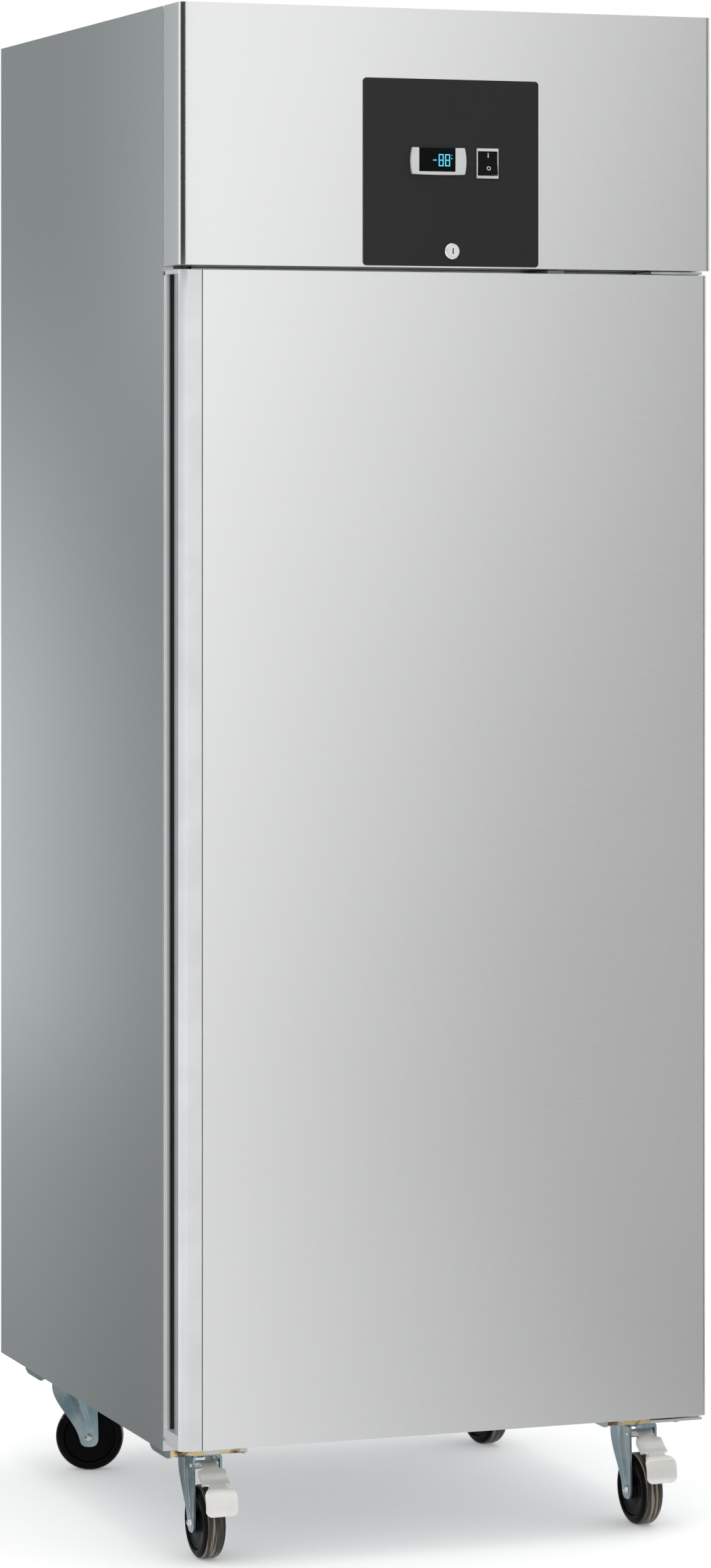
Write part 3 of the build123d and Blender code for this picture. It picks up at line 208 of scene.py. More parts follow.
def plated_metal(name, color, roughness, tint=None, scale=40.0, metallic=1.0):
    """Bright plating with cloudy roughness and, where given, patches of a second tint."""
    graph = new_material(name)
    clouds = graph.noise(scale, 3.0)
    second = tint or shade(color, 0.94)
    mixed = graph.blend(graph.spread(clouds, 0.4, 0.65), shade(color, 1.0), shade(second, 1.0))
    rough = graph.spread(clouds, 0.3, 0.7, roughness * 0.8, roughness * 1.25)
    normal = graph.relief(graph.noise(1500.0), 0.05, 0.03 * mm, 0.5 * mm)
    graph.finish(mixed, rough, normal, Metallic=metallic)


def moulded(name, color, roughness, grain=1400.0, bump=0.12, coat=0.0, metallic=0.0, specular=0.5):
    """Plastic or rubber with a fine surface grain and slight shade changes."""
    graph = new_material(name)
    fine = graph.noise(grain, 3.0)
    mixed = graph.blend(graph.spread(graph.noise(18.0), 0.3, 0.7), shade(color, 0.96), shade(color, 1.03))
    rough = graph.spread(fine, 0.3, 0.7, roughness * 0.93, roughness * 1.07)
    normal = graph.relief(fine, bump, 0.05 * mm, 0.4 * mm)
    graph.finish(mixed, rough, normal, Metallic=metallic, Coat_Weight=coat, Specular_IOR_Level=specular)


def foam(name, color):
    """Rigid foam with small cells."""
    graph = new_material(name)
    cells = graph.add("ShaderNodeTexVoronoi", {"Vector": graph.place(), "Scale": 500.0}).outputs["Distance"]
    mixed = graph.blend(graph.spread(cells, 0.0, 0.8), shade(color, 1.0), shade(color, 0.86))
    graph.finish(mixed, 0.85, graph.relief(cells, 0.3, 0.3 * mm, 0.5 * mm))


def glowing(name, color, strength):
    """A lit display segment, a little uneven."""
    graph = new_material(name)
    fine = graph.noise(500.0)
    lit = graph.blend(graph.spread(fine, 0.3, 0.7), shade(color, 0.88), shade(color, 1.0))
    graph.finish(shade(color, 0.2), 0.4, graph.relief(fine, 0.02, 0.02 * mm, 0.1 * mm),
                 Emission_Color=lit, Emission_Strength=strength)


def castor_plating(name, color, warm, dark):
    """Bright zinc on a castor's plate, with warm patches and dark patches of painted shadow along it."""
    graph = new_material(name)
    patches = graph.noise(1.0, 1.5, (38.0, 20.0, 60.0))
    shadows = graph.noise(1.0, 2.0, (55.0, 25.0, 120.0))
    warmed = graph.blend(graph.spread(patches, 0.38, 0.56), shade(color, 1.0), shade(warm, 1.0))
    mixed = graph.blend(graph.spread(shadows, 0.50, 0.66), warmed, shade(dark, 1.0))
    graph.finish(mixed, graph.spread(patches, 0.3, 0.7, 0.26, 0.38),
                 graph.relief(graph.noise(1500.0), 0.05, 0.03 * mm, 0.4 * mm), Metallic=0.75)


def tread(name, color, sheen):
    """A tyre's tread with pale streaks of painted sheen that run round it."""
    graph = new_material(name)
    streaks = graph.noise(1.0, 2.0, (290.0, 16.0, 16.0))
    mixed = graph.blend(graph.spread(streaks, 0.46, 0.68), shade(color, 1.0), shade(sheen, 1.0))
    graph.finish(mixed, graph.spread(streaks, 0.3, 0.7, 0.42, 0.30),
                 graph.relief(graph.noise(900.0), 0.12, 0.05 * mm, 0.4 * mm))


# Where the recess's painted shade starts and where it is fully black, in from the grip's outer side
recess_shade_start = 2.6 * mm
recess_shade_full = 6.2 * mm


def grip_recess_painted_shade(name, silver, black):
    """The finger recess: silver at its rear land, then black further in as painted shade for the shadow deep in
    the recess.
    """
    graph = new_material(name)
    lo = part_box("grip_profile")[0]
    recess_shade_mask = graph.spread(graph.axis("X"), lo.x + recess_shade_start, lo.x + recess_shade_full)
    fine = graph.noise(1200.0)
    graph.finish(graph.blend(recess_shade_mask, shade(silver, 1.0), shade(black, 1.0)), 0.5,
                 graph.relief(fine, 0.1, 0.05 * mm, 0.3 * mm))


# One material for each slot: its colour, its roughness and what else its kind takes
brushed_metal("stainless_case", (0.640, 0.650, 0.650), 0.24, 2)
brushed_metal("stainless_front", (0.80, 0.808, 0.806), 0.28, 0)
galvanised_sheet("galvanised", (0.62, 0.65, 0.67), 0.42)
brushed_metal("liner_steel", (0.74, 0.75, 0.76), 0.34, 2)
foam("foam", (0.90, 0.84, 0.62))
brushed_metal("rack_steel", (0.66, 0.67, 0.68), 0.32, 2)
plated_metal("shelf_wire", (0.74, 0.75, 0.76), 0.18)
moulded("cover_white", (0.82, 0.83, 0.83), 0.38, coat=0.2)
plated_metal("coil_aluminium", (0.76, 0.77, 0.78), 0.35)
moulded("fan_black", (0.025, 0.025, 0.027), 0.42)
moulded("motor_grey", (0.16, 0.17, 0.18), 0.45, metallic=0.3)
moulded("compressor_black", (0.015, 0.015, 0.017), 0.32, coat=0.4)
plated_metal("copper", (0.70, 0.36, 0.22), 0.28, (0.52, 0.27, 0.18))
moulded("box_grey", (0.46, 0.48, 0.50), 0.45)
plated_metal("bracket_steel", (0.72, 0.75, 0.77), 0.34)
plated_metal("hinge_rod_steel", (0.66, 0.67, 0.68), 0.22)
moulded("gasket_grey", (0.83, 0.84, 0.85), 0.55)
moulded("grip_silver", (0.81, 0.816, 0.83), 0.34, metallic=0.45)
moulded("cap_grey", (0.81, 0.816, 0.83), 0.36, metallic=0.4)
moulded("bush_white", (0.78, 0.78, 0.75), 0.45)
moulded("switch_housing", (0.66, 0.68, 0.70), 0.4)
moulded("plate_black", (0.010, 0.010, 0.0102), 0.48, grain=2600.0, bump=0.06, specular=0.35)
moulded("bezel_light", (0.74, 0.75, 0.755), 0.38)
moulded("window_black", (0.0035, 0.004, 0.0045), 0.16, bump=0.0, specular=0.05)
moulded("switch_bezel_grey", (0.76, 0.77, 0.77), 0.38)
moulded("rocker_black", (0.004, 0.004, 0.0045), 0.22, specular=0.10)
plated_metal("lock_chrome", (0.84, 0.85, 0.86), 0.16)
plated_metal("castor_zinc", (0.27, 0.37, 0.42), 0.28, (0.40, 0.46, 0.48), 26.0, 0.85)
plated_metal("bolt_zinc", (0.66, 0.68, 0.70), 0.22)
moulded("wheel_black", (0.003, 0.0033, 0.0036), 0.36, specular=0.05)
moulded("tyre_black", (0.004, 0.004, 0.004), 0.40, grain=900.0, bump=0.2, specular=0.06)
plated_metal("pedal_chrome", (0.97, 0.965, 0.945), 0.17, (0.94, 0.92, 0.87), 40.0, 0.35)

# Materials of single faces and marks
# Painted shade: the grip's recess turns black inward, for the shadow deep in it
grip_recess_painted_shade("recess_painted_shade", (0.90, 0.906, 0.92), (0.009, 0.009, 0.010))
# Painted shade: dark faces in the grip's grooves, for the shade in them
moulded("groove_painted_shade", (0.10, 0.10, 0.105), 0.5)
# Warm zinc with patches of painted shadow, for the plates' front and rear edges and races
castor_plating("plate_warm_and_shadow", (0.66, 0.66, 0.62), (0.72, 0.56, 0.30), (0.10, 0.065, 0.04))
# Painted sheen: pale streaks on the tyre's tread, for its highlight
tread("tread_painted_sheen", (0.022, 0.017, 0.012), (0.40, 0.33, 0.25))
# Painted shade: the dark bead in the gap between the grip and the door
moulded("seam_painted_shade", (0.02, 0.02, 0.021), 0.6)
glowing("display_blue", (0.10, 0.68, 0.92), 1.0)
glowing("display_dim", (0.03, 0.22, 0.42), 1.0)
moulded("mark_white", (0.78, 0.78, 0.78), 0.5)
# Painted shade: the dark filling inside the key slot
moulded("keyway_painted_shade", (0.01, 0.01, 0.01), 0.5)


def dress_nodes():
    """Gives each CAD node the material of its slot."""
    for name, obj in nodes.items():
        obj.data.materials.clear()
        obj.data.materials.append(materials[slots[name]])


# Pieces built in mesh code

def add_piece(name, shape, body, slot, looks=None, choice=None, smooth=35):
    """A welded piece in its slot's material, or in several looks with each face's choice of them."""
    mesh = bpy.data.meshes.new(name)
    verts, faces = shape
    mesh.from_pydata([tuple(v) for v in verts], [], faces)
    for look in looks or [slot]:
        mesh.materials.append(materials[look])
    for polygon in mesh.polygons:
        polygon.use_smooth = True
        polygon.material_index = choice[polygon.index] if choice else 0
    weld(mesh)
    mesh.set_sharp_from_angle(angle=radians(smooth))
    obj = link(bpy.data.objects.new(name, mesh))
    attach(obj, body)
    return obj


def weld(mesh):
    """Joins doubled points, drops bare edges and turns every face outwards."""
    work = bmesh.new()
    work.from_mesh(mesh)
    bmesh.ops.remove_doubles(work, verts=work.verts, dist=0.002 * mm)
    bare = [edge for edge in work.edges if not edge.link_faces]
    bmesh.ops.delete(work, geom=bare, context="EDGES")
    bmesh.ops.recalc_face_normals(work, faces=work.faces)
    work.to_mesh(mesh)
    work.free()


def soften(obj, width, segments=2):
    """A bevel on the sharp edges."""
    bevel = obj.modifiers.new("soft_edges", "BEVEL")
    bevel.width = width
    bevel.segments = segments
    bevel.limit_method = "ANGLE"
    bevel.angle_limit = radians(40)
    return obj


def arc(cx, cy, radius, start, end, steps):
    """Points on an arc, the angles in degrees."""
    turns = [radians(start + (end - start) * step / steps) for step in range(steps + 1)]
    return [(cx + radius * cos(turn), cy + radius * sin(turn)) for turn in turns]


def prism(outline, lift):
    """An outline run between two ends; lift turns a point and an end, 0 or 1, into a place."""
    count = len(outline)
    verts = [lift(point, end) for end in (0, 1) for point in outline]
    faces = [(i, (i + 1) % count, count + (i + 1) % count, count + i) for i in range(count)]
    faces.append(tuple(reversed(range(count))))
    faces.append(tuple(range(count, 2 * count)))
    return verts, faces


def bar(x0, y0, x1, y1):
    """The outline of a rectangle between two corners."""
    return [(x0, y0), (x1, y0), (x1, y1), (x0, y1)]


def upright(outline, heights, place=Matrix.Identity(4)):
    """An outline in X and Y run up between two heights."""
    return prism(outline, lambda p, end: place @ Vector((p[0], p[1], heights[end])))


def block(low, high, place):
    """A box between two corners."""
    return upright(bar(low[0], low[1], high[0], high[1]), (low[2], high[2]), place)


def grid(rows, closed=False):
    """Faces over rows of places, all as long; a closed grid joins its last row to its first."""
    width = len(rows[0])
    verts = [place for row in rows for place in row]
    faces = []
    for r in range(len(rows) if closed else len(rows) - 1):
        s = (r + 1) % len(rows)
        for c in range(width - 1):
            faces.append((r * width + c, r * width + c + 1, s * width + c + 1, s * width + c))
    return verts, faces


def turned(profile, place, steps=64):
    """A closed outline of (radius, height) points turned about Z."""
    rows = []
    for step in range(steps):
        turn = 2 * pi * step / steps
        row = [place @ Vector((r * cos(turn), r * sin(turn), h)) for r, h in profile]
        rows.append(row + row[:1])
    return grid(rows, closed=True)


def mirrored(half):
    """A whole (radius, height) outline from its upper half, its lower half first."""
    return [(r, -h) for r, h in half] + [(r, h) for r, h in reversed(half)]


def joined(shapes):
    """Several shapes as one list of verts and one of faces."""
    verts, faces = [], []
    for more_verts, more_faces in shapes:
        base = len(verts)
        verts += more_verts
        faces += [tuple(base + i for i in face) for face in more_faces]
    return verts, faces


def smooth_step(value, low, high):
    """Rises softly from 0 at low to 1 at high."""
    share = min(1.0, max(0.0, (value - low) / (high - low)))
    return share * share * (3 - 2 * share)


# Display

segment_width = 1.4 * mm
segment_gap = 0.12 * mm
display_depth = 0.15 * mm
digit_width = 6.9 * mm
digit_height = 15.8 * mm
digit_left = (-19.2 * mm, -10.3 * mm)
digit_middle_z = 1813.6 * mm
dash_left = -27.0 * mm
dash_right = -22.0 * mm
dot_x = -0.9 * mm
dot_z = 1816.0 * mm
dot_radius = 0.8 * mm
mark_z = 1820.0 * mm
mark_radius = 0.9 * mm


def figure_eight(left):
    """The outlines of a figure eight's seven segments, with hairline gaps."""
    w = segment_width
    gap = segment_gap
    right = left + digit_width
    low = digit_middle_z - digit_height / 2
    high = digit_middle_z + digit_height / 2
    middle = digit_middle_z
    bars = [bar(left, z, right, z + w) for z in (low, middle - w / 2, high - w)]
    for x in (left, right - w):
        bars.append(bar(x, low + w + gap, x + w, middle - w / 2 - gap))
        bars.append(bar(x, middle + w / 2 + gap, x + w, high - w - gap))
    return bars


def on_face(y):
    """Lifts a point in X and Z onto a face at y, display_depth proud."""
    return lambda point, end: Vector((point[0], y - display_depth * end, point[1]))


def add_display():
    """Two figures, a dash and the marks beside them, lying on the window."""
    y = (controller_front + window_inset) * mm
    outlines = [outline for left in digit_left for outline in figure_eight(left)]
    dash_low = digit_middle_z - segment_width / 2
    outlines.append(bar(dash_left, dash_low, dash_right, dash_low + segment_width))
    figures = joined([prism(outline, on_face(y)) for outline in outlines])
    add_piece("display_figures", figures, "header", "window_black", ["display_blue"])
    for name, z, radius, look in (("display_dot", dot_z, dot_radius, "display_blue"),
                                  ("display_mark", mark_z, mark_radius, "display_dim")):
        disc = prism(arc(dot_x, z, radius, 0, 330, 11), on_face(y))
        add_piece(name, disc, "header", "window_black", [look])


# Controller and switch, in millimetres in the part's frame

millimetres = Matrix.Scale(mm, 4)
plate_y = -412.5
controller_front = -417.5
controller_back = -366.0
controller_x = -18.7
controller_z = 1813.0
controller_half_width = 35.5
controller_half_height = 14.7
bezel_x = -19.3
bezel_z = 1812.0
bezel_half_width = 38.6
bezel_half_height = 17.7
bezel_bow = 2.2
bezel_low_bow = 0.8
bezel_low_points = (36.4, 18.0, 0.0, -18.0, -36.4)
window_left = -46.4
window_right = 4.2
window_low = 1798.7
window_high = 1829.4
window_inset = 1.0
window_corner = 2.0
window_rim_width = 0.5
window_rim_depth = 0.6


def bezel_outline():
    """The controller's bezel: bowed ends, a bowed bottom edge and a notch that is open at the top."""
    half, high = bezel_half_width, bezel_half_height
    heights = [high - high * step / 6 for step in range(12)]
    ends = [(half - bezel_bow * (z / high) ** 2, z) for z in heights]
    right = [(bezel_x + x, bezel_z + z) for x, z in ends]
    low = [(bezel_x + x, bezel_z - high + bezel_low_bow * (x / half) ** 2) for x in bezel_low_points]
    left = [(bezel_x - x, bezel_z + z) for x, z in reversed(ends)]
    top = bezel_z + high
    notch = [(window_left, top), (window_left, window_low), (window_right, window_low), (window_right, top)]
    return right + low + left + notch


def add_controller():
    """The bezel with its body behind the plate, and the black window."""
    def lift(p, end):
        return millimetres @ Vector((p[0], (controller_front, plate_y)[end], p[1]))
    half_x, half_z = controller_half_width, controller_half_height
    body = block((controller_x - half_x, plate_y, controller_z - half_z),
                 (controller_x + half_x, controller_back, controller_z + half_z), millimetres)
    shape = joined([prism(bezel_outline(), lift), body])
    bezel = add_piece("controller_bezel_detail", shape, "header", "bezel_light")
    soften(bezel, 0.8 * mm, 3)
    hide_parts("controller_bezel")
    window = add_piece("controller_window_detail", window_pane(), "header", "window_black")
    soften(window, 0.2 * mm)
    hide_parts("controller_window")


def window_pane():
    """The window: round lower corners and a rim that turns back into the bezel."""
    r = window_corner

    def ring(inset, y):
        left, right = window_left + inset, window_right - inset
        bottom, top = window_low + inset, window_high - inset
        points = [(right, top), (left, top)] + arc(left + r, bottom + r, r, 180, 270, 5)
        points += arc(right - r, bottom + r, r, 270, 360, 5)
        return [millimetres @ Vector((x, y, z)) for x, z in points + points[:1]]
    face = controller_front + window_inset
    rows = [ring(0.0, plate_y), ring(0.0, face + window_rim_depth), ring(window_rim_width, face)]
    verts, faces = grid(rows)
    width = len(rows[0])
    faces += [tuple(range(width - 1)), tuple(2 * width + i for i in range(width - 1))]
    return verts, faces


switch_x = 49.7
switch_z = 1810.5
switch_front = plate_y - 3.5
switch_back = -387.0
rocker_y = -410.0
rocker_tilt = radians(-8)
rocker_half_width = 13.5
rocker_end = (-6.2, 15.2)
rocker_valley = -4.6
rocker_behind = [(-2.0, 12.6), (3.0, 12.0)]
line_corners = (0.3, 6.9, 1.6, 13.3)
ring_middle = (1.0, -7.2)
ring_radii = (2.8, 1.8)
mark_clearance = 0.02
mark_depth = 0.12

# Rings over the switch frame's rim, down its inside and back: half width, half height and Y
switch_rings = [(14.9, 19.5, plate_y), (14.9, 19.5, switch_front + 0.5), (14.4, 19.0, switch_front),
                (14.0, 15.9, switch_front), (13.8, 16.0, switch_front + 0.5),
                (13.8, 16.3, switch_front + 2.0), (13.8, 16.7, rocker_y), (13.8, 16.7, switch_back),
                (14.5, 18.6, switch_back), (14.5, 18.6, plate_y)]


def rectangle_ring(half_x, half_z, y, place):
    """The corner places of a rectangle in X and Z, with its first corner again at the end."""
    points = bar(-half_x, -half_z, half_x, half_z)
    return [place @ Vector((x, y, z)) for x, z in points + points[:1]]


def add_switch_frame():
    """The switch's frame: rounded rim, thin side rails and end walls that follow the rocker's swing."""
    place = millimetres @ Matrix.Translation((switch_x, 0, switch_z))
    rows = [rectangle_ring(*ring, place) for ring in switch_rings]
    frame_piece = add_piece("switch_frame_detail", grid(rows + rows[:1]), "header", "switch_bezel_grey")
    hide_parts("switch_bezel")


def add_rocker():
    """The black rocker with its line and ring."""
    y, z = rocker_end
    side = [(y, z), (rocker_valley, 0), (y, -z)] + [(a, -b) for a, b in rocker_behind] + rocker_behind[::-1]
    place = millimetres @ Matrix.Translation((switch_x, rocker_y, switch_z))
    place = place @ Matrix.Rotation(rocker_tilt, 4, "X")
    shape = prism(side, lambda p, end: place @ Vector((rocker_half_width * (2 * end - 1), p[0], p[1])))
    piece = add_piece("rocker_detail", shape, "rocker", "rocker_black", smooth=20)
    soften(piece, 0.9 * mm, 3)
    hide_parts("rocker")
    lean = (y - rocker_valley) / z

    def on_rocker(p, end):
        depth = rocker_valley + lean * abs(p[1]) - mark_clearance - mark_depth * end
        return place @ Vector((p[0], depth, p[1]))
    add_piece("switch_line", prism(bar(*line_corners), on_rocker), "rocker", "rocker_black", ["mark_white"])
    outer, inner = [arc(*ring_middle, radius, 0, 360, 32) for radius in ring_radii]
    rows = [[on_rocker(p, end) for p in ring]
            for ring, end in ((outer, 0), (outer, 1), (inner, 1), (inner, 0), (outer, 0))]
    add_piece("switch_ring", grid(rows), "rocker", "rocker_black", ["mark_white"])


# Key slot, door trims and deck, in metres

lock_z = 1695.6 * mm
barrel_radius = 7.4 * mm
key_slot_half_width = 0.79 * mm
key_slot_half_height = 3.79 * mm
key_slot_inset = 0.12 * mm
key_slot_depth = 2 * mm


def add_keyway_shade():
    """A dark filling just inside the key slot in the barrel's face: painted shade for the slot's inside."""
    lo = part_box("lock_barrel")[0]
    x, y, z = lo.x + barrel_radius, lo.y + key_slot_inset, lock_z
    half_x, half_z = key_slot_half_width, key_slot_half_height
    slot = arc(x, z + half_z - half_x, half_x, 0, 180, 8) + arc(x, z - half_z + half_x, half_x, 180, 360, 8)
    shape = prism(slot, lambda p, end: Vector((p[0], y + key_slot_depth * end, p[1])))
    add_piece("key_slot", shape, "lock_barrel", "lock_chrome", ["keyway_painted_shade"])


# The gasket's section in millimetres: inwards from its outer edge, and back from its front
fin = -2.3
fold = -0.6
gasket_section = ((0.0, 0.0), (fin, 0.2), (fin, 1.2), (fold, 2.2), (fin, 3.2), (fin, 4.4), (fold, 5.4),
                  (fin, 6.3), (fin, 8.0), (-1.4, 8.6), (14.0, 8.6), (15.5, 7.6), (16.0, 4.0), (20.0, 3.0),
                  (20.0, 0.0), (0.0, 0.0))


def add_gasket():
    """The door's seal as a bellows with fins at its outer edge."""
    lo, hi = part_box("door_gasket")
    turns = [(1, 1, lo.x, lo.z), (-1, 1, hi.x, lo.z), (-1, -1, hi.x, hi.z), (1, -1, lo.x, hi.z)]
    rows = [[Vector((x + sx * d * mm, lo.y + depth * mm, z + sz * d * mm)) for d, depth in gasket_section]
            for sx, sz, x, z in turns]
    piece = add_piece("door_gasket_detail", grid(rows, closed=True), "door", "gasket_grey")
    soften(piece, 0.3 * mm)
    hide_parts("door_gasket")


seam_clearance = 0.03 * mm
seam_inset = 1.0 * mm
seam_depth = 4 * mm
seam_end = 0.5 * mm


def add_seam_shade():
    """A dark half-round bead between the grip and the door's face: painted shade for the shadow in the gap."""
    grip_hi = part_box("grip_profile")[1]
    skin_lo, skin_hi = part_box("door_skin")
    radius = (skin_lo.x - grip_hi.x) / 2 - seam_clearance
    x = (skin_lo.x + grip_hi.x) / 2
    y = skin_lo.y + seam_inset
    outline = arc(x, y, radius, 180, 360, 10) + [(x + radius, y + seam_depth), (x - radius, y + seam_depth)]
    heights = (skin_lo.z + seam_end, skin_hi.z - seam_end)
    add_piece("grip_seam_shade", upright(outline, heights), "door", "gasket_grey", ["seam_painted_shade"])


hem_drop = 7 * mm
hem_thickness = 1.1 * mm
hem_middle = (-0.45 * mm, 1.95 * mm)
hem_radius = 0.65 * mm
hem_lap = 0.2 * mm
hem_left = 37 * mm
hem_right = 81 * mm
hem_gap = 0.5 * mm


def add_deck_edge():
    """The deck's hemmed front edge, open where the door's switch sits."""
    deck_lo, deck_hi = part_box("deck_panel")
    switch_lo, switch_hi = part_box("door_switch")
    y, z = deck_lo.y, deck_hi.z
    outline = [(y, z - hem_drop), (y - hem_thickness, z - hem_drop)]
    outline += arc(y + hem_middle[0], z + hem_middle[1], hem_radius, 180, 0, 6)
    outline += [(y + hem_lap, z), (y, z)]
    stretches = ((deck_lo.x + hem_left, switch_lo.x - hem_gap),
                 (switch_hi.x + hem_gap, deck_hi.x - hem_right))
    lengths = [prism(outline, lambda p, end: Vector((ends[end], p[0], p[1]))) for ends in stretches]
    add_piece("deck_front_edge", joined(lengths), "cabinet", "galvanised", ["stainless_case"])


# Grip

silver_look, recess_shade_look, groove_shade_look = 0, 1, 2
grip_round = 11 * mm
# Each groove's start behind the grip's front and its width, in millimetres
grooves = ((11.2, 2.2), (16.4, 1.8), (20.4, 1.8))
groove_slope = 0.4
groove_depth = 0.8 * mm
lip_rear = 24 * mm
lip_thickness = 5 * mm
recess_front = 19 * mm
recess_wall = 4 * mm
recess_middle = 25 * mm
recess_radius = 21 * mm
land_edge = 0.6 * mm
land_depth = 3.4 * mm


def grip_outline(lo, hi):
    """The grip's plan as points, each with the number of the look of the face that starts there."""
    rounding = arc(lo.x + grip_round, lo.y + grip_round, grip_round, 270, 180, 10)
    points = [(p, silver_look) for p in rounding]
    # Each groove's faces are dark with painted shade
    for start, width in grooves:
        y = lo.y + start * mm
        points += [((lo.x, y), groove_shade_look),
                   ((lo.x + groove_depth, y + groove_slope * mm), groove_shade_look),
                   ((lo.x + groove_depth, y + (width - groove_slope) * mm), groove_shade_look),
                   ((lo.x, y + width * mm), silver_look)]
    # The recess faces, which take the painted shade
    shaded_recess = [(lo.x, lo.y + lip_rear), (lo.x + lip_thickness, lo.y + lip_rear),
              (lo.x + lip_thickness, lo.y + recess_front), (hi.x - recess_wall, lo.y + recess_front)]
    shaded_recess += arc(hi.x - recess_middle, hi.y - recess_middle, recess_radius, 0, 90, 10)
    silver = [(lo.x + land_edge, hi.y - recess_wall), (lo.x, hi.y - land_depth), (lo.x, hi.y),
              (hi.x, hi.y), (hi.x, lo.y)]
    return points + [(p, recess_shade_look) for p in shaded_recess] + [(p, silver_look) for p in silver]


def add_grip():
    """The grip profile with fine grooves along its lip, and painted shade in the grooves and deep in the recess.
    """
    lo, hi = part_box("grip_profile")
    points = grip_outline(lo, hi)
    shape = upright([p for p, look in points], (lo.z, hi.z))
    choice = [look for p, look in points] + [recess_shade_look] * 2
    grip = add_piece("grip_profile_detail", shape, "door", "grip_silver",
                     ["grip_silver", "recess_painted_shade", "groove_painted_shade"], choice)
    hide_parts("grip_profile")


# Castors, in millimetres in each castor's own frame: the kingpin at the origin, the wheel towards -Y

corners = ("fl", "fr", "rl", "rr")
braked_corners = ("fl", "fr")
wheel_radius = 47.5
wheel_trail = 28.0
axle_place = Matrix.Translation((0, -wheel_trail, wheel_radius)) @ Matrix.Rotation(radians(90), 4, "Y")
fork_half = 20.0
fork_sheet = 3.0
fork_top = 137.1
fork_bend = 7.0
leg_front = -38.0
leg_rear = 24.0
toe = 13.0
toe_power = 2.6
rib_height = 1.7
rib_middle = 0.46
rib_half = 0.15
nut_radius = 7.6
nut_height = 3.8
tray_top = 146.4
tray_low = 143.4
# Beyond this, the plate's faces take the warm look with painted shadow
warm_edge = 45.5

# Sections as (radius, height); the half ones are mirrored
fork_crown = ((7.0, 132.4), (24.0, 132.4), (26.5, 133.4), (27.0, 134.8), (26.5, 136.4), (24.5, 137.1),
              (7.0, 137.1))
race = ((6.0, 137.4), (26.0, 137.4), (29.0, 138.0), (30.0, 139.6), (29.6, 141.6), (31.5, 143.0),
        (31.5, 143.5), (6.0, 143.5))
kingpin = ((0.0, 126.0), (8.0, 126.0), (9.6, 127.2), (10.0, 131.2), (6.0, 131.4), (6.0, 138.0), (0.0, 138.0))
axle_head = ((0.0, 5.2), (2.2, 4.9), (4.1, 3.9), (5.3, 2.2), (5.6, 0.9), (6.3, 0.8), (6.4, 0.0), (4.9, 0.0))
axle_end = ((4.9, 0.0), (4.0, 4.6), (3.2, 5.2), (0.0, 5.2))
wheel_half = ((5.4, 16.4), (11.6, 16.4), (12.8, 15.4), (14.0, 13.4), (16.5, 12.5), (24.0, 12.3), (30.5, 12.3),
              (31.6, 12.8), (34.4, 12.9), (35.4, 12.2))
tyre_side = [(35.5, 12.9), (36.2, 14.4), (37.2, 15.0)]
tyre_shoulder = (38.5, 6.0, 9.0)
pivot_half = ((3.0, 16.4), (4.9, 16.4), (5.5, 15.8))
pin_half = ((0.0, 21.6), (2.0, 21.4), (3.0, 20.4))


def castor_frame(corner):
    """A castor's frame, its turn taken from where its wheel trails."""
    pin = Vector(joints[f"castor_{corner}_swivel"]["pos_m"])
    wheel = Vector(joints[f"castor_{corner}_roll"]["pos_m"])
    turn = atan2(wheel.x - pin.x, pin.y - wheel.y)
    return Matrix.Translation((pin.x, pin.y, 0)) @ Matrix.Rotation(turn, 4, "Z") @ millimetres


def leg_edges(z):
    """The front and rear edge of a fork's leg at a height, along Y."""
    front = leg_front - 3.0 * smooth_step(fork_top - z, 0, 90)
    rear = leg_rear - 39.0 * smooth_step(112.0 - z, -8, 72)
    if z < wheel_radius:
        share = min(1.0, (wheel_radius - z) / toe)
        half = toe * max(0.0, 1 - share ** toe_power) ** (1 / toe_power)
        return max(front, -wheel_trail - half), min(rear, -wheel_trail + half)
    return front, rear


def fork_stations():
    """Places across a fork's section from one toe over the crown to the other: x, z and the way out."""
    toe_z = wheel_radius - toe
    heights = [toe_z + 0.05 + toe * (step / 8) ** 2 for step in range(9)]
    heights += [wheel_radius + (fork_top - fork_bend - wheel_radius) * step / 14 for step in range(1, 15)]
    leg = [(-fork_half, z, (-1.0, 0.0)) for z in heights]
    bend = []
    for step in range(1, 7):
        turn = radians(180 - 90 * step / 6)
        out = (cos(turn), sin(turn))
        bend.append((-fork_half + fork_bend + fork_bend * out[0],
                     fork_top - fork_bend + fork_bend * out[1], out))
    top = [(x, fork_top, (0.0, 1.0)) for x in (-8.0, 0.0)]
    half = leg + bend + top
    return half + [(-x, z, (-out[0], out[1])) for x, z, out in reversed(half[:-1])]


def rib(share, z):
    """How far the pressed rib stands out of a leg."""
    across = max(0.0, 1 - abs(share - rib_middle) / rib_half)
    along = smooth_step(z, 52, 66) * (1 - smooth_step(z, 118, 130))
    return rib_height * smooth_step(across, 0, 0.8) * along


def sheet_strip(rows):
    """A bent sheet, both ends filled, over closed rows that run along its outside and back inside."""
    verts, faces = grid(rows)
    width = len(rows[0])
    half = (width - 1) // 2
    for base in (0, (len(rows) - 1) * width):
        for c in range(half - 1):
            faces.append((base + c, base + c + 1, base + 2 * half - 2 - c, base + 2 * half - 1 - c))
    return verts, faces


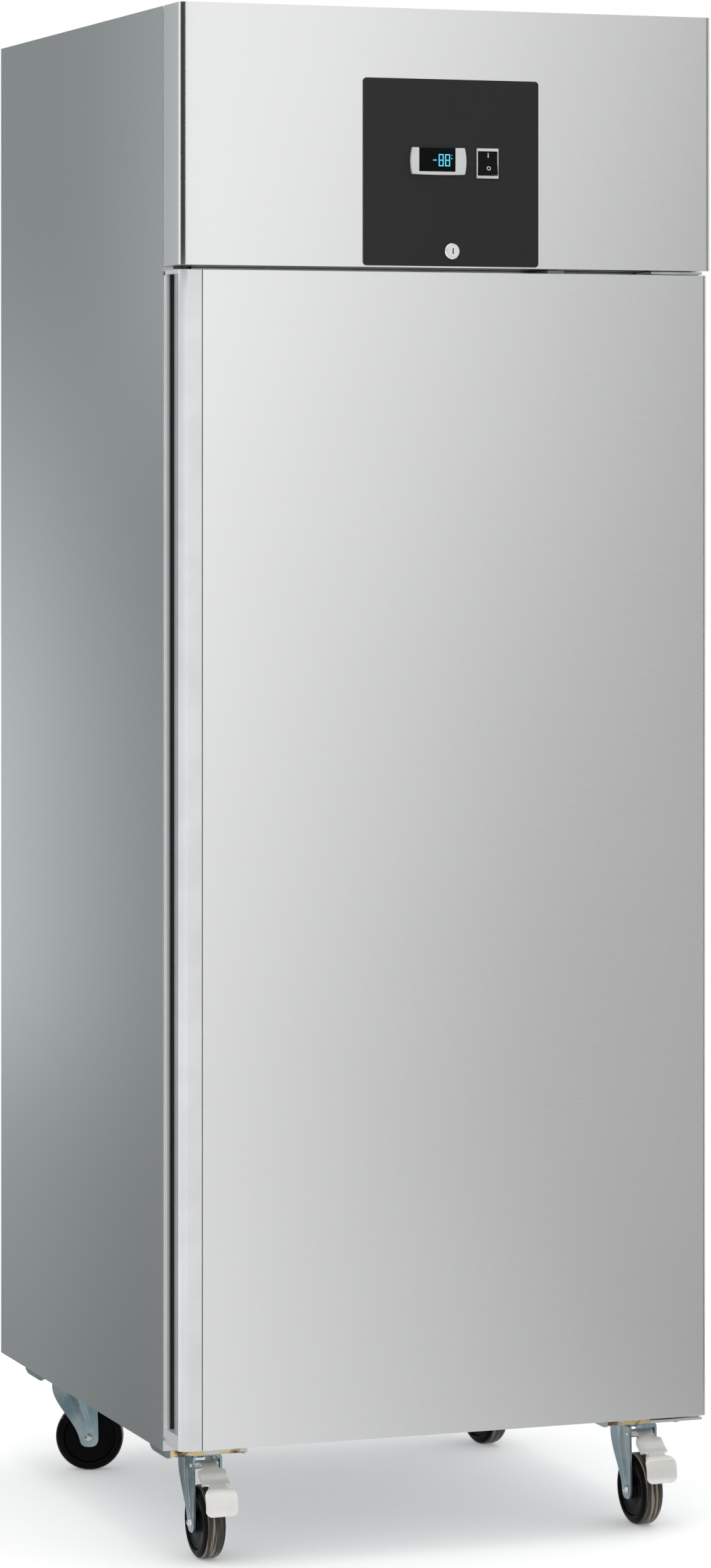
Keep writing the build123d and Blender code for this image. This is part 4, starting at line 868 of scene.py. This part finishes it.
def pressed_fork(place):
    """A fork bent from one sheet, with a rib in each leg."""
    rows = []
    for x, z, out in fork_stations():
        on_leg = abs(x) == fork_half
        front, rear = leg_edges(z) if on_leg else (leg_front, leg_rear)
        outer = []
        inner = []
        for share in [step / 20 for step in range(21)]:
            y = front + (rear - front) * share
            lift = rib(share, z) if on_leg else 0.0
            outer.append(place @ Vector((x + out[0] * lift, y, z + out[1] * lift)))
            lift -= fork_sheet
            inner.append(place @ Vector((x + out[0] * lift, y, z + out[1] * lift)))
        rows.append(outer + inner[::-1] + outer[:1])
    return sheet_strip(rows)


def add_fork(corner, place):
    """The pressed fork with its round crown."""
    shape = joined([pressed_fork(place), turned(fork_crown, place)])
    piece = add_piece(f"castor_{corner}_fork_detail", shape, f"castor_{corner}_fork", "castor_zinc",
                      smooth=50)
    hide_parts(f"castor_{corner}_fork")


def add_axle(corner, place):
    """The axle bolt: a domed head on one side, a nut and the bolt's end on the other."""
    section = [(r, -fork_half - h) for r, h in axle_head] + [(r, fork_half + h) for r, h in axle_end]
    bolt = turned(section, place @ axle_place, 32)
    hexagon = arc(0, 0, nut_radius, 0, 300, 5)
    nut = upright(hexagon, (fork_half, fork_half + nut_height), place @ axle_place)
    shape = joined([bolt, nut])
    piece = add_piece(f"castor_{corner}_axle_detail", shape, f"castor_{corner}_fork", "bolt_zinc")
    soften(piece, 0.4 * mm)
    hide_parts(f"castor_{corner}_axle")


def add_wheel(corner, place):
    """The wheel's centre and its tyre, whose tread is paler than its sides with painted sheen."""
    shape = turned(mirrored(wheel_half), place @ axle_place)
    piece = add_piece(f"castor_{corner}_wheel_detail", shape, f"castor_{corner}_wheel", "wheel_black",
                      smooth=50)
    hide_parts(f"castor_{corner}_wheel")
    edge = tyre_side + arc(*tyre_shoulder, 90, 0, 8)
    section = mirrored(edge)
    shape = turned(section, place @ axle_place)
    count = len(section)
    first = len(edge) - 4
    choice = [1 if first <= index % count < count - first - 1 else 0 for index in range(len(shape[1]))]
    tyre = add_piece(f"castor_{corner}_tyre_detail", shape, f"castor_{corner}_wheel", "tyre_black",
                     ["tyre_black", "tread_painted_sheen"], choice, smooth=60)
    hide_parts(f"castor_{corner}_tyre")


def tray_lip(x, y):
    """How far a castor plate's edge turns down at a place: deep at its sides, slight in front and behind."""
    side = smooth_step(abs(x), 49.0, 52.0)
    return 6.0 + 5.0 * side * (1 - smooth_step(abs(y), 30.0, 47.0))


def rounded_rectangle(half_x, half_y, radius):
    """Points round a rectangle, its straight sides divided."""
    parts = 9
    bends = [arc(sx * (half_x - radius), sy * (half_y - radius), radius, start, start + 90, 5)
             for sx, sy, start in ((1, 1, 0), (-1, 1, 90), (-1, -1, 180), (1, -1, 270))]
    points = []
    for bend, following in zip(bends, bends[1:] + bends[:1]):
        (x0, y0), (x1, y1) = bend[-1], following[0]
        points += bend
        points += [(x0 + (x1 - x0) * step / parts, y0 + (y1 - y0) * step / parts) for step in range(1, parts)]
    return points


def castor_tray(place):
    """The pressed plate of one castor, as rings from its middle round the lip and back."""
    outer = rounded_rectangle(52.5, 49.0, 6.0)
    inner = rounded_rectangle(49.5, 46.0, 3.5)
    rows = [[place @ Vector((0, 0, tray_top))] * len(outer),
            [place @ Vector((x * 0.985, y * 0.985, tray_top)) for x, y in outer],
            [place @ Vector((x, y, tray_top - 0.8)) for x, y in outer],
            [place @ Vector((x, y, tray_low - tray_lip(x, y))) for x, y in outer],
            [place @ Vector((a[0], a[1], tray_low - tray_lip(*b))) for a, b in zip(inner, outer)],
            [place @ Vector((x, y, tray_low)) for x, y in inner],
            [place @ Vector((0, 0, tray_low))] * len(outer)]
    return grid([row + row[:1] for row in rows])


def add_castor_plates():
    """The four plates with their races and kingpins; their front and rear edges are warmer, with patches of
    painted shadow.
    """
    shapes = []
    choice = []
    for corner in corners:
        pin = Vector(joints[f"castor_{corner}_swivel"]["pos_m"])
        place = Matrix.Translation((pin.x, pin.y, 0)) @ millimetres
        tray = castor_tray(place)
        for face in tray[1]:
            middle = sum((tray[0][i] for i in face), Vector()) / len(face) - pin
            choice.append(1 if abs(middle.y) > warm_edge * mm else 0)
        ring = turned(race, place)
        bolt = turned(kingpin, place, 32)
        choice += [1] * len(ring[1]) + [0] * len(bolt[1])
        shapes += [tray, ring, bolt]
    piece = add_piece("castor_plates_detail", joined(shapes), "cabinet", "castor_zinc",
                      ["castor_zinc", "plate_warm_and_shadow"], choice)
    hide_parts("castor_plates")


# The pedal's bend as (distance in front of the kingpin, height)
pedal_route = ((30.0, 126.3), (44.0, 125.0), (58.0, 117.5), (70.0, 109.0), (81.0, 103.5), (91.0, 98.5),
               (97.0, 90.0), (99.3, 79.0), (99.4, 67.0))
pedal_pivot = (-30.0, 122.0)
pedal_sheet = 2.5
strap_half = 11.0
ear_reach = 7.0
ear_fold = 7.0
tongue_top = 101.0
tongue_low = 67.0
tongue_half = 21.5
tongue_round = 8.0
shoe_foot = (0, -66.1, 91.1)
shoe_tilt = radians(28)
shoe_low = (-8, -4, 0)
shoe_high = (8, 4, 16.5)


def pedal_half_width(z):
    """Half the pedal's width at a height: strap, ears, strap and a tongue with round corners."""
    if z >= tongue_top:
        return strap_half + ear_reach * (smooth_step(z, 104.6, 105.4) - smooth_step(z, 119.6, 120.4))
    corner = tongue_round
    down = min(corner, tongue_top - z)
    up = min(corner, max(0.0, z - tongue_low))
    inset = corner - (corner ** 2 - (corner - min(down, up)) ** 2) ** 0.5
    return tongue_half - inset


def between(a, b, c, d, t):
    """The value at t from b to c, on a smooth curve through four values."""
    return 0.5 * (2 * b + (c - a) * t + (2 * a - 5 * b + 4 * c - d) * t ** 2
                  + (3 * b - a - 3 * c + d) * t ** 3)


def smooth_route(points, steps):
    """A smooth curve through points, each stretch in so many steps."""
    ends = [points[0]] + list(points) + [points[-1]]
    curve = []
    for four in zip(ends, ends[1:], ends[2:], ends[3:]):
        curve += [tuple(between(*values, step / steps) for values in zip(*four)) for step in range(steps)]
    return curve + [points[-1]]


def pedal_strip(place):
    """The bent pedal with flaps folded back at its ears."""
    route = smooth_route(pedal_route, 9)
    sheet = pedal_sheet
    rows = []
    for index, (y, z) in enumerate(route):
        before = route[max(0, index - 1)]
        after = route[min(len(route) - 1, index + 1)]
        run = Vector((after[0] - before[0], after[1] - before[1])).normalized()
        out = Vector((-run.y, run.x))
        half = pedal_half_width(z)
        fold = ear_fold * (smooth_step(z, 105.0, 107.0) - smooth_step(z, 117.5, 119.5))
        section = [(-half, -fold)] + [(half * (step / 5 - 1), 0.0) for step in range(11)] + [(half, -fold)]
        back = [(x * (half - (sheet if depth else 0)) / half, depth - (0 if depth else sheet))
                for x, depth in reversed(section)]
        row = [place @ Vector((x, -(y + out.x * depth), z + out.y * depth)) for x, depth in section + back]
        rows.append(row + row[:1])
    return sheet_strip(rows)


def add_pedal(corner, place):
    """The brake pedal with its pivot barrel, pin and shoe."""
    y, z = pedal_pivot
    pivot = place @ Matrix.Translation((0, y, z)) @ Matrix.Rotation(radians(90), 4, "Y")
    barrel = turned(mirrored(pivot_half), pivot, 32)
    pin = turned(mirrored(pin_half), pivot, 24)
    shoe_place = place @ Matrix.Translation(shoe_foot) @ Matrix.Rotation(shoe_tilt, 4, "X")
    shape = joined([pedal_strip(place), barrel, pin, block(shoe_low, shoe_high, shoe_place)])
    piece = add_piece(f"castor_{corner}_pedal_detail", shape, f"castor_{corner}_pedal", "pedal_chrome",
                      smooth=40)
    soften(piece, 0.5 * mm)
    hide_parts(f"castor_{corner}_pedal")


def add_castors():
    """All pieces of the four castors."""
    add_castor_plates()
    for corner in corners:
        place = castor_frame(corner)
        add_fork(corner, place)
        add_axle(corner, place)
        add_wheel(corner, place)
        if corner in braked_corners:
            add_pedal(corner, place)


# Stage

white = (1.0, 1.0, 1.0, 1.0)
floor_half = 30.0
floor_lift = 0.225
# The floor's tone for what it lights, and as it is seen
floor_tones = (0.55, 0.55, 0.55, 1.0), (0.94, 0.94, 0.94, 1.0)


def onward(graph, rays):
    """Whether a ray comes by way of a mirror or glass."""
    return graph.math("MAXIMUM", rays["Is Glossy Ray"], rays["Is Transmission Ray"])


def add_floor():
    """A pale floor that turns white for the camera and keeps the shadow."""
    graph = new_material("floor")
    rays = graph.add("ShaderNodeLightPath").outputs
    direct = graph.math("MAXIMUM", rays["Is Camera Ray"], onward(graph, rays))
    pale = graph.add("ShaderNodeBsdfDiffuse", {"Color": graph.blend(direct, *floor_tones)})
    lift = graph.add("ShaderNodeEmission", {"Color": white,
                                            "Strength": graph.math("MULTIPLY", direct, floor_lift)})
    graph.surface(graph.add("ShaderNodeAddShader", {0: pale, 1: lift}))
    mesh = bpy.data.meshes.new("floor")
    outline = bar(-floor_half, -floor_half, floor_half, floor_half)
    mesh.from_pydata([(x, y, 0) for x, y in outline], [], [(0, 1, 2, 3)])
    mesh.materials.append(materials["floor"])
    link(bpy.data.objects.new("floor", mesh))


# Brightness of the room by compass direction, in degrees from +X towards +Y
room_levels = [(-180, 0.62), (-130, 0.70), (-95, 0.85), (-75, 0.75), (-62, 0.50), (-40, 0.42), (-15, 0.60),
               (30, 0.90), (60, 1.00), (84, 1.00), (98, 0.60), (112, 0.48), (140, 0.60), (180, 0.62)]
sky_level = 1.05
sky_rise = (0.25, 0.75)
# The white wall's soft ends behind the object, in the same degrees
white_start = (45, 60)
white_end = (95, 84)


def add_world():
    """A room with white behind the object, greyer sides and a bright ceiling."""
    world = bpy.data.worlds.new("studio")
    bpy.context.scene.world = world
    world.use_nodes = True
    graph = Graph(world.node_tree)
    direction = graph.add("ShaderNodeTexCoord").outputs["Generated"]
    parts = graph.add("ShaderNodeSeparateXYZ", {0: direction}).outputs
    turn = graph.math("ARCTAN2", parts["Y"], parts["X"])
    share = graph.spread(turn, -pi, pi, curve="LINEAR")
    ramp = graph.add("ShaderNodeValToRGB", {0: share})
    elements = ramp.color_ramp.elements
    while len(elements) < len(room_levels):
        elements.new(0.5)
    for element, (angle, level) in zip(elements, room_levels):
        element.position = (angle + 180) / 360
        element.color = (level, level, level, 1)
    ceiling = graph.spread(parts["Z"], *sky_rise)
    walls = graph.blend(ceiling, ramp, (sky_level, sky_level, sky_level, 1))
    room = graph.add("ShaderNodeBackground", {"Color": walls, "Strength": 1.0})
    bright = graph.add("ShaderNodeBackground", {"Color": white, "Strength": 1.0})
    rays = graph.add("ShaderNodeLightPath").outputs
    start, end = [graph.spread(turn, *map(radians, ends)) for ends in (white_start, white_end)]
    behind = graph.math("MULTIPLY", start, end)
    seen = graph.math("MAXIMUM", rays["Is Camera Ray"], graph.math("MULTIPLY", behind, onward(graph, rays)))
    graph.surface(graph.add("ShaderNodeMixShader", {0: seen, 1: room, 2: bright}), "ShaderNodeOutputWorld")


def add_panel(name, pairs, build_level, color=white):
    """A soft panel that shows only in the object's metal: a strip over rows of place pairs."""
    graph = new_material(name)
    graph.surface(graph.add("ShaderNodeEmission", {"Color": color, "Strength": build_level(graph)}))
    mesh = bpy.data.meshes.new(name)
    verts, faces = grid(pairs)
    mesh.from_pydata(verts, [], faces)
    mesh.materials.append(materials[name])
    panel = link(bpy.data.objects.new(name, mesh))
    panel.visible_camera = False
    panel.visible_shadow = False
    panel.visible_diffuse = False


# The front panel's rows as (y, z), and the side panel's as (x, its near end in y, z)
front_panel_half = 1.5
front_rows = ((-1.80, 2.7), (-1.80, 0.42), (-0.62, 0.012))
side_panel_far = 3.6
side_foot_top = 0.25
side_foot_shift = 6.5
side_rows = ((-0.85, 0.35, 2.5), (-0.85, 0.35, side_foot_top), (-0.40, -0.30, 0.012))
side_panel_color = (0.93, 1.0, 1.01, 1.0)

# Upright strips: middle, radius, angles in degrees, lower and upper end, brightness
header_corner = (-0.363, -0.404)
right_corner = (0.363, -0.404)
strips = {
    "white_strip": (header_corner, 0.10, (126, 142, 158, 176), 1.67, 2.05, 1.05),
    "left_strip": (header_corner, 0.09, (-182, -158, -134, -110, -87), 1.66, 2.05, 0.02),
    "right_strip": (right_corner, 0.45, (-50, -40, -28), 0.10, 2.12, 0.05),
}

# Ramps of brightness over a panel: from, to, and the level at each
front_lean = 0.32
front_across = (-0.1, 0.85, 1.06, 0.47)
front_low = (0.05, 0.40, 0.87, 1.0)
side_gain = 0.52
side_base = 0.205
side_back = (0.9, 2.05, 0.0, 1.0)
side_high = (1.9, 0.9, 0.25, 1.0)
side_low = (-0.20, 0.6, 0.0, 1.0)
near_across = (1.21, 1.09, 0.0, 0.34)
near_high = (1.2, 1.76, 0.0, 1.0)


def front_level(graph):
    """Brighter to the left and above, falling off to the right and below."""
    lean = graph.math("MULTIPLY", graph.math("SUBTRACT", graph.axis("Z"), 1.0), front_lean)
    along = graph.math("SUBTRACT", graph.axis("X"), lean)
    level = graph.spread(along, *front_across, "LINEAR")
    return graph.math("MULTIPLY", level, graph.spread(graph.axis("Z"), *front_low))


def side_level(graph):
    """Brighter at the back and at mid height; on the foot the places count as further back."""
    below = graph.math("MAXIMUM", graph.math("SUBTRACT", side_foot_top, graph.axis("Z")), 0.0)
    further = graph.math("ADD", graph.axis("Y"), graph.math("MULTIPLY", below, side_foot_shift))
    back = graph.spread(further, *side_back)
    middle = graph.math("MULTIPLY", graph.spread(graph.axis("Z"), *side_high),
                        graph.spread(graph.axis("Z"), *side_low))
    near = graph.math("MULTIPLY", graph.spread(graph.axis("Y"), *near_across),
                      graph.spread(graph.axis("Z"), *near_high))
    main = graph.math("MULTIPLY", graph.math("MULTIPLY", back, middle), side_gain)
    return graph.math("ADD", graph.math("ADD", main, side_base), near)


def sector(middle, radius, angles, low, high):
    """Place pairs of an upright strip round a point, the angles in degrees from +X towards +Y."""
    ring = [(middle[0] + radius * cos(radians(a)), middle[1] + radius * sin(radians(a))) for a in angles]
    return [[(x, y, low), (x, y, high)] for x, y in ring]


def add_panels():
    """Panels before the front and behind the left side, and narrow strips that edge the corners."""
    front_pairs = [[(-front_panel_half, y, z), (front_panel_half, y, z)] for y, z in front_rows]
    add_panel("front_panel", front_pairs, front_level)
    side_pairs = [[(x, side_panel_far, z), (x, y, z)] for x, y, z in side_rows]
    add_panel("side_panel", side_pairs, side_level, side_panel_color)
    for name, (*arrangement, level) in strips.items():
        add_panel(name, sector(*arrangement), lambda graph: level)


lamp_place = (0.3, -0.8, 4.2)
lamp_target = (0, 0, 0.2)
lamp_size = 3.0
lamp_power = 25


def add_lamp():
    """A soft square lamp overhead."""
    data = bpy.data.lights.new("overhead", "AREA")
    data.shape = "SQUARE"
    data.size = lamp_size
    data.energy = lamp_power
    lamp = link(bpy.data.objects.new("overhead", data))
    lamp.location = lamp_place
    lamp.rotation_euler = (Vector(lamp_target) - Vector(lamp_place)).to_track_quat("-Z", "Y").to_euler()
    lamp.visible_camera = False
    lamp.visible_glossy = False


add_camera()
dress_nodes()
add_controller()
add_display()
add_switch_frame()
add_rocker()
add_keyway_shade()
add_gasket()
add_grip()
add_seam_shade()
add_deck_edge()
add_castors()
add_floor()
add_world()
add_panels()
add_lamp()
bpy.context.scene.view_settings.view_transform = "Standard"
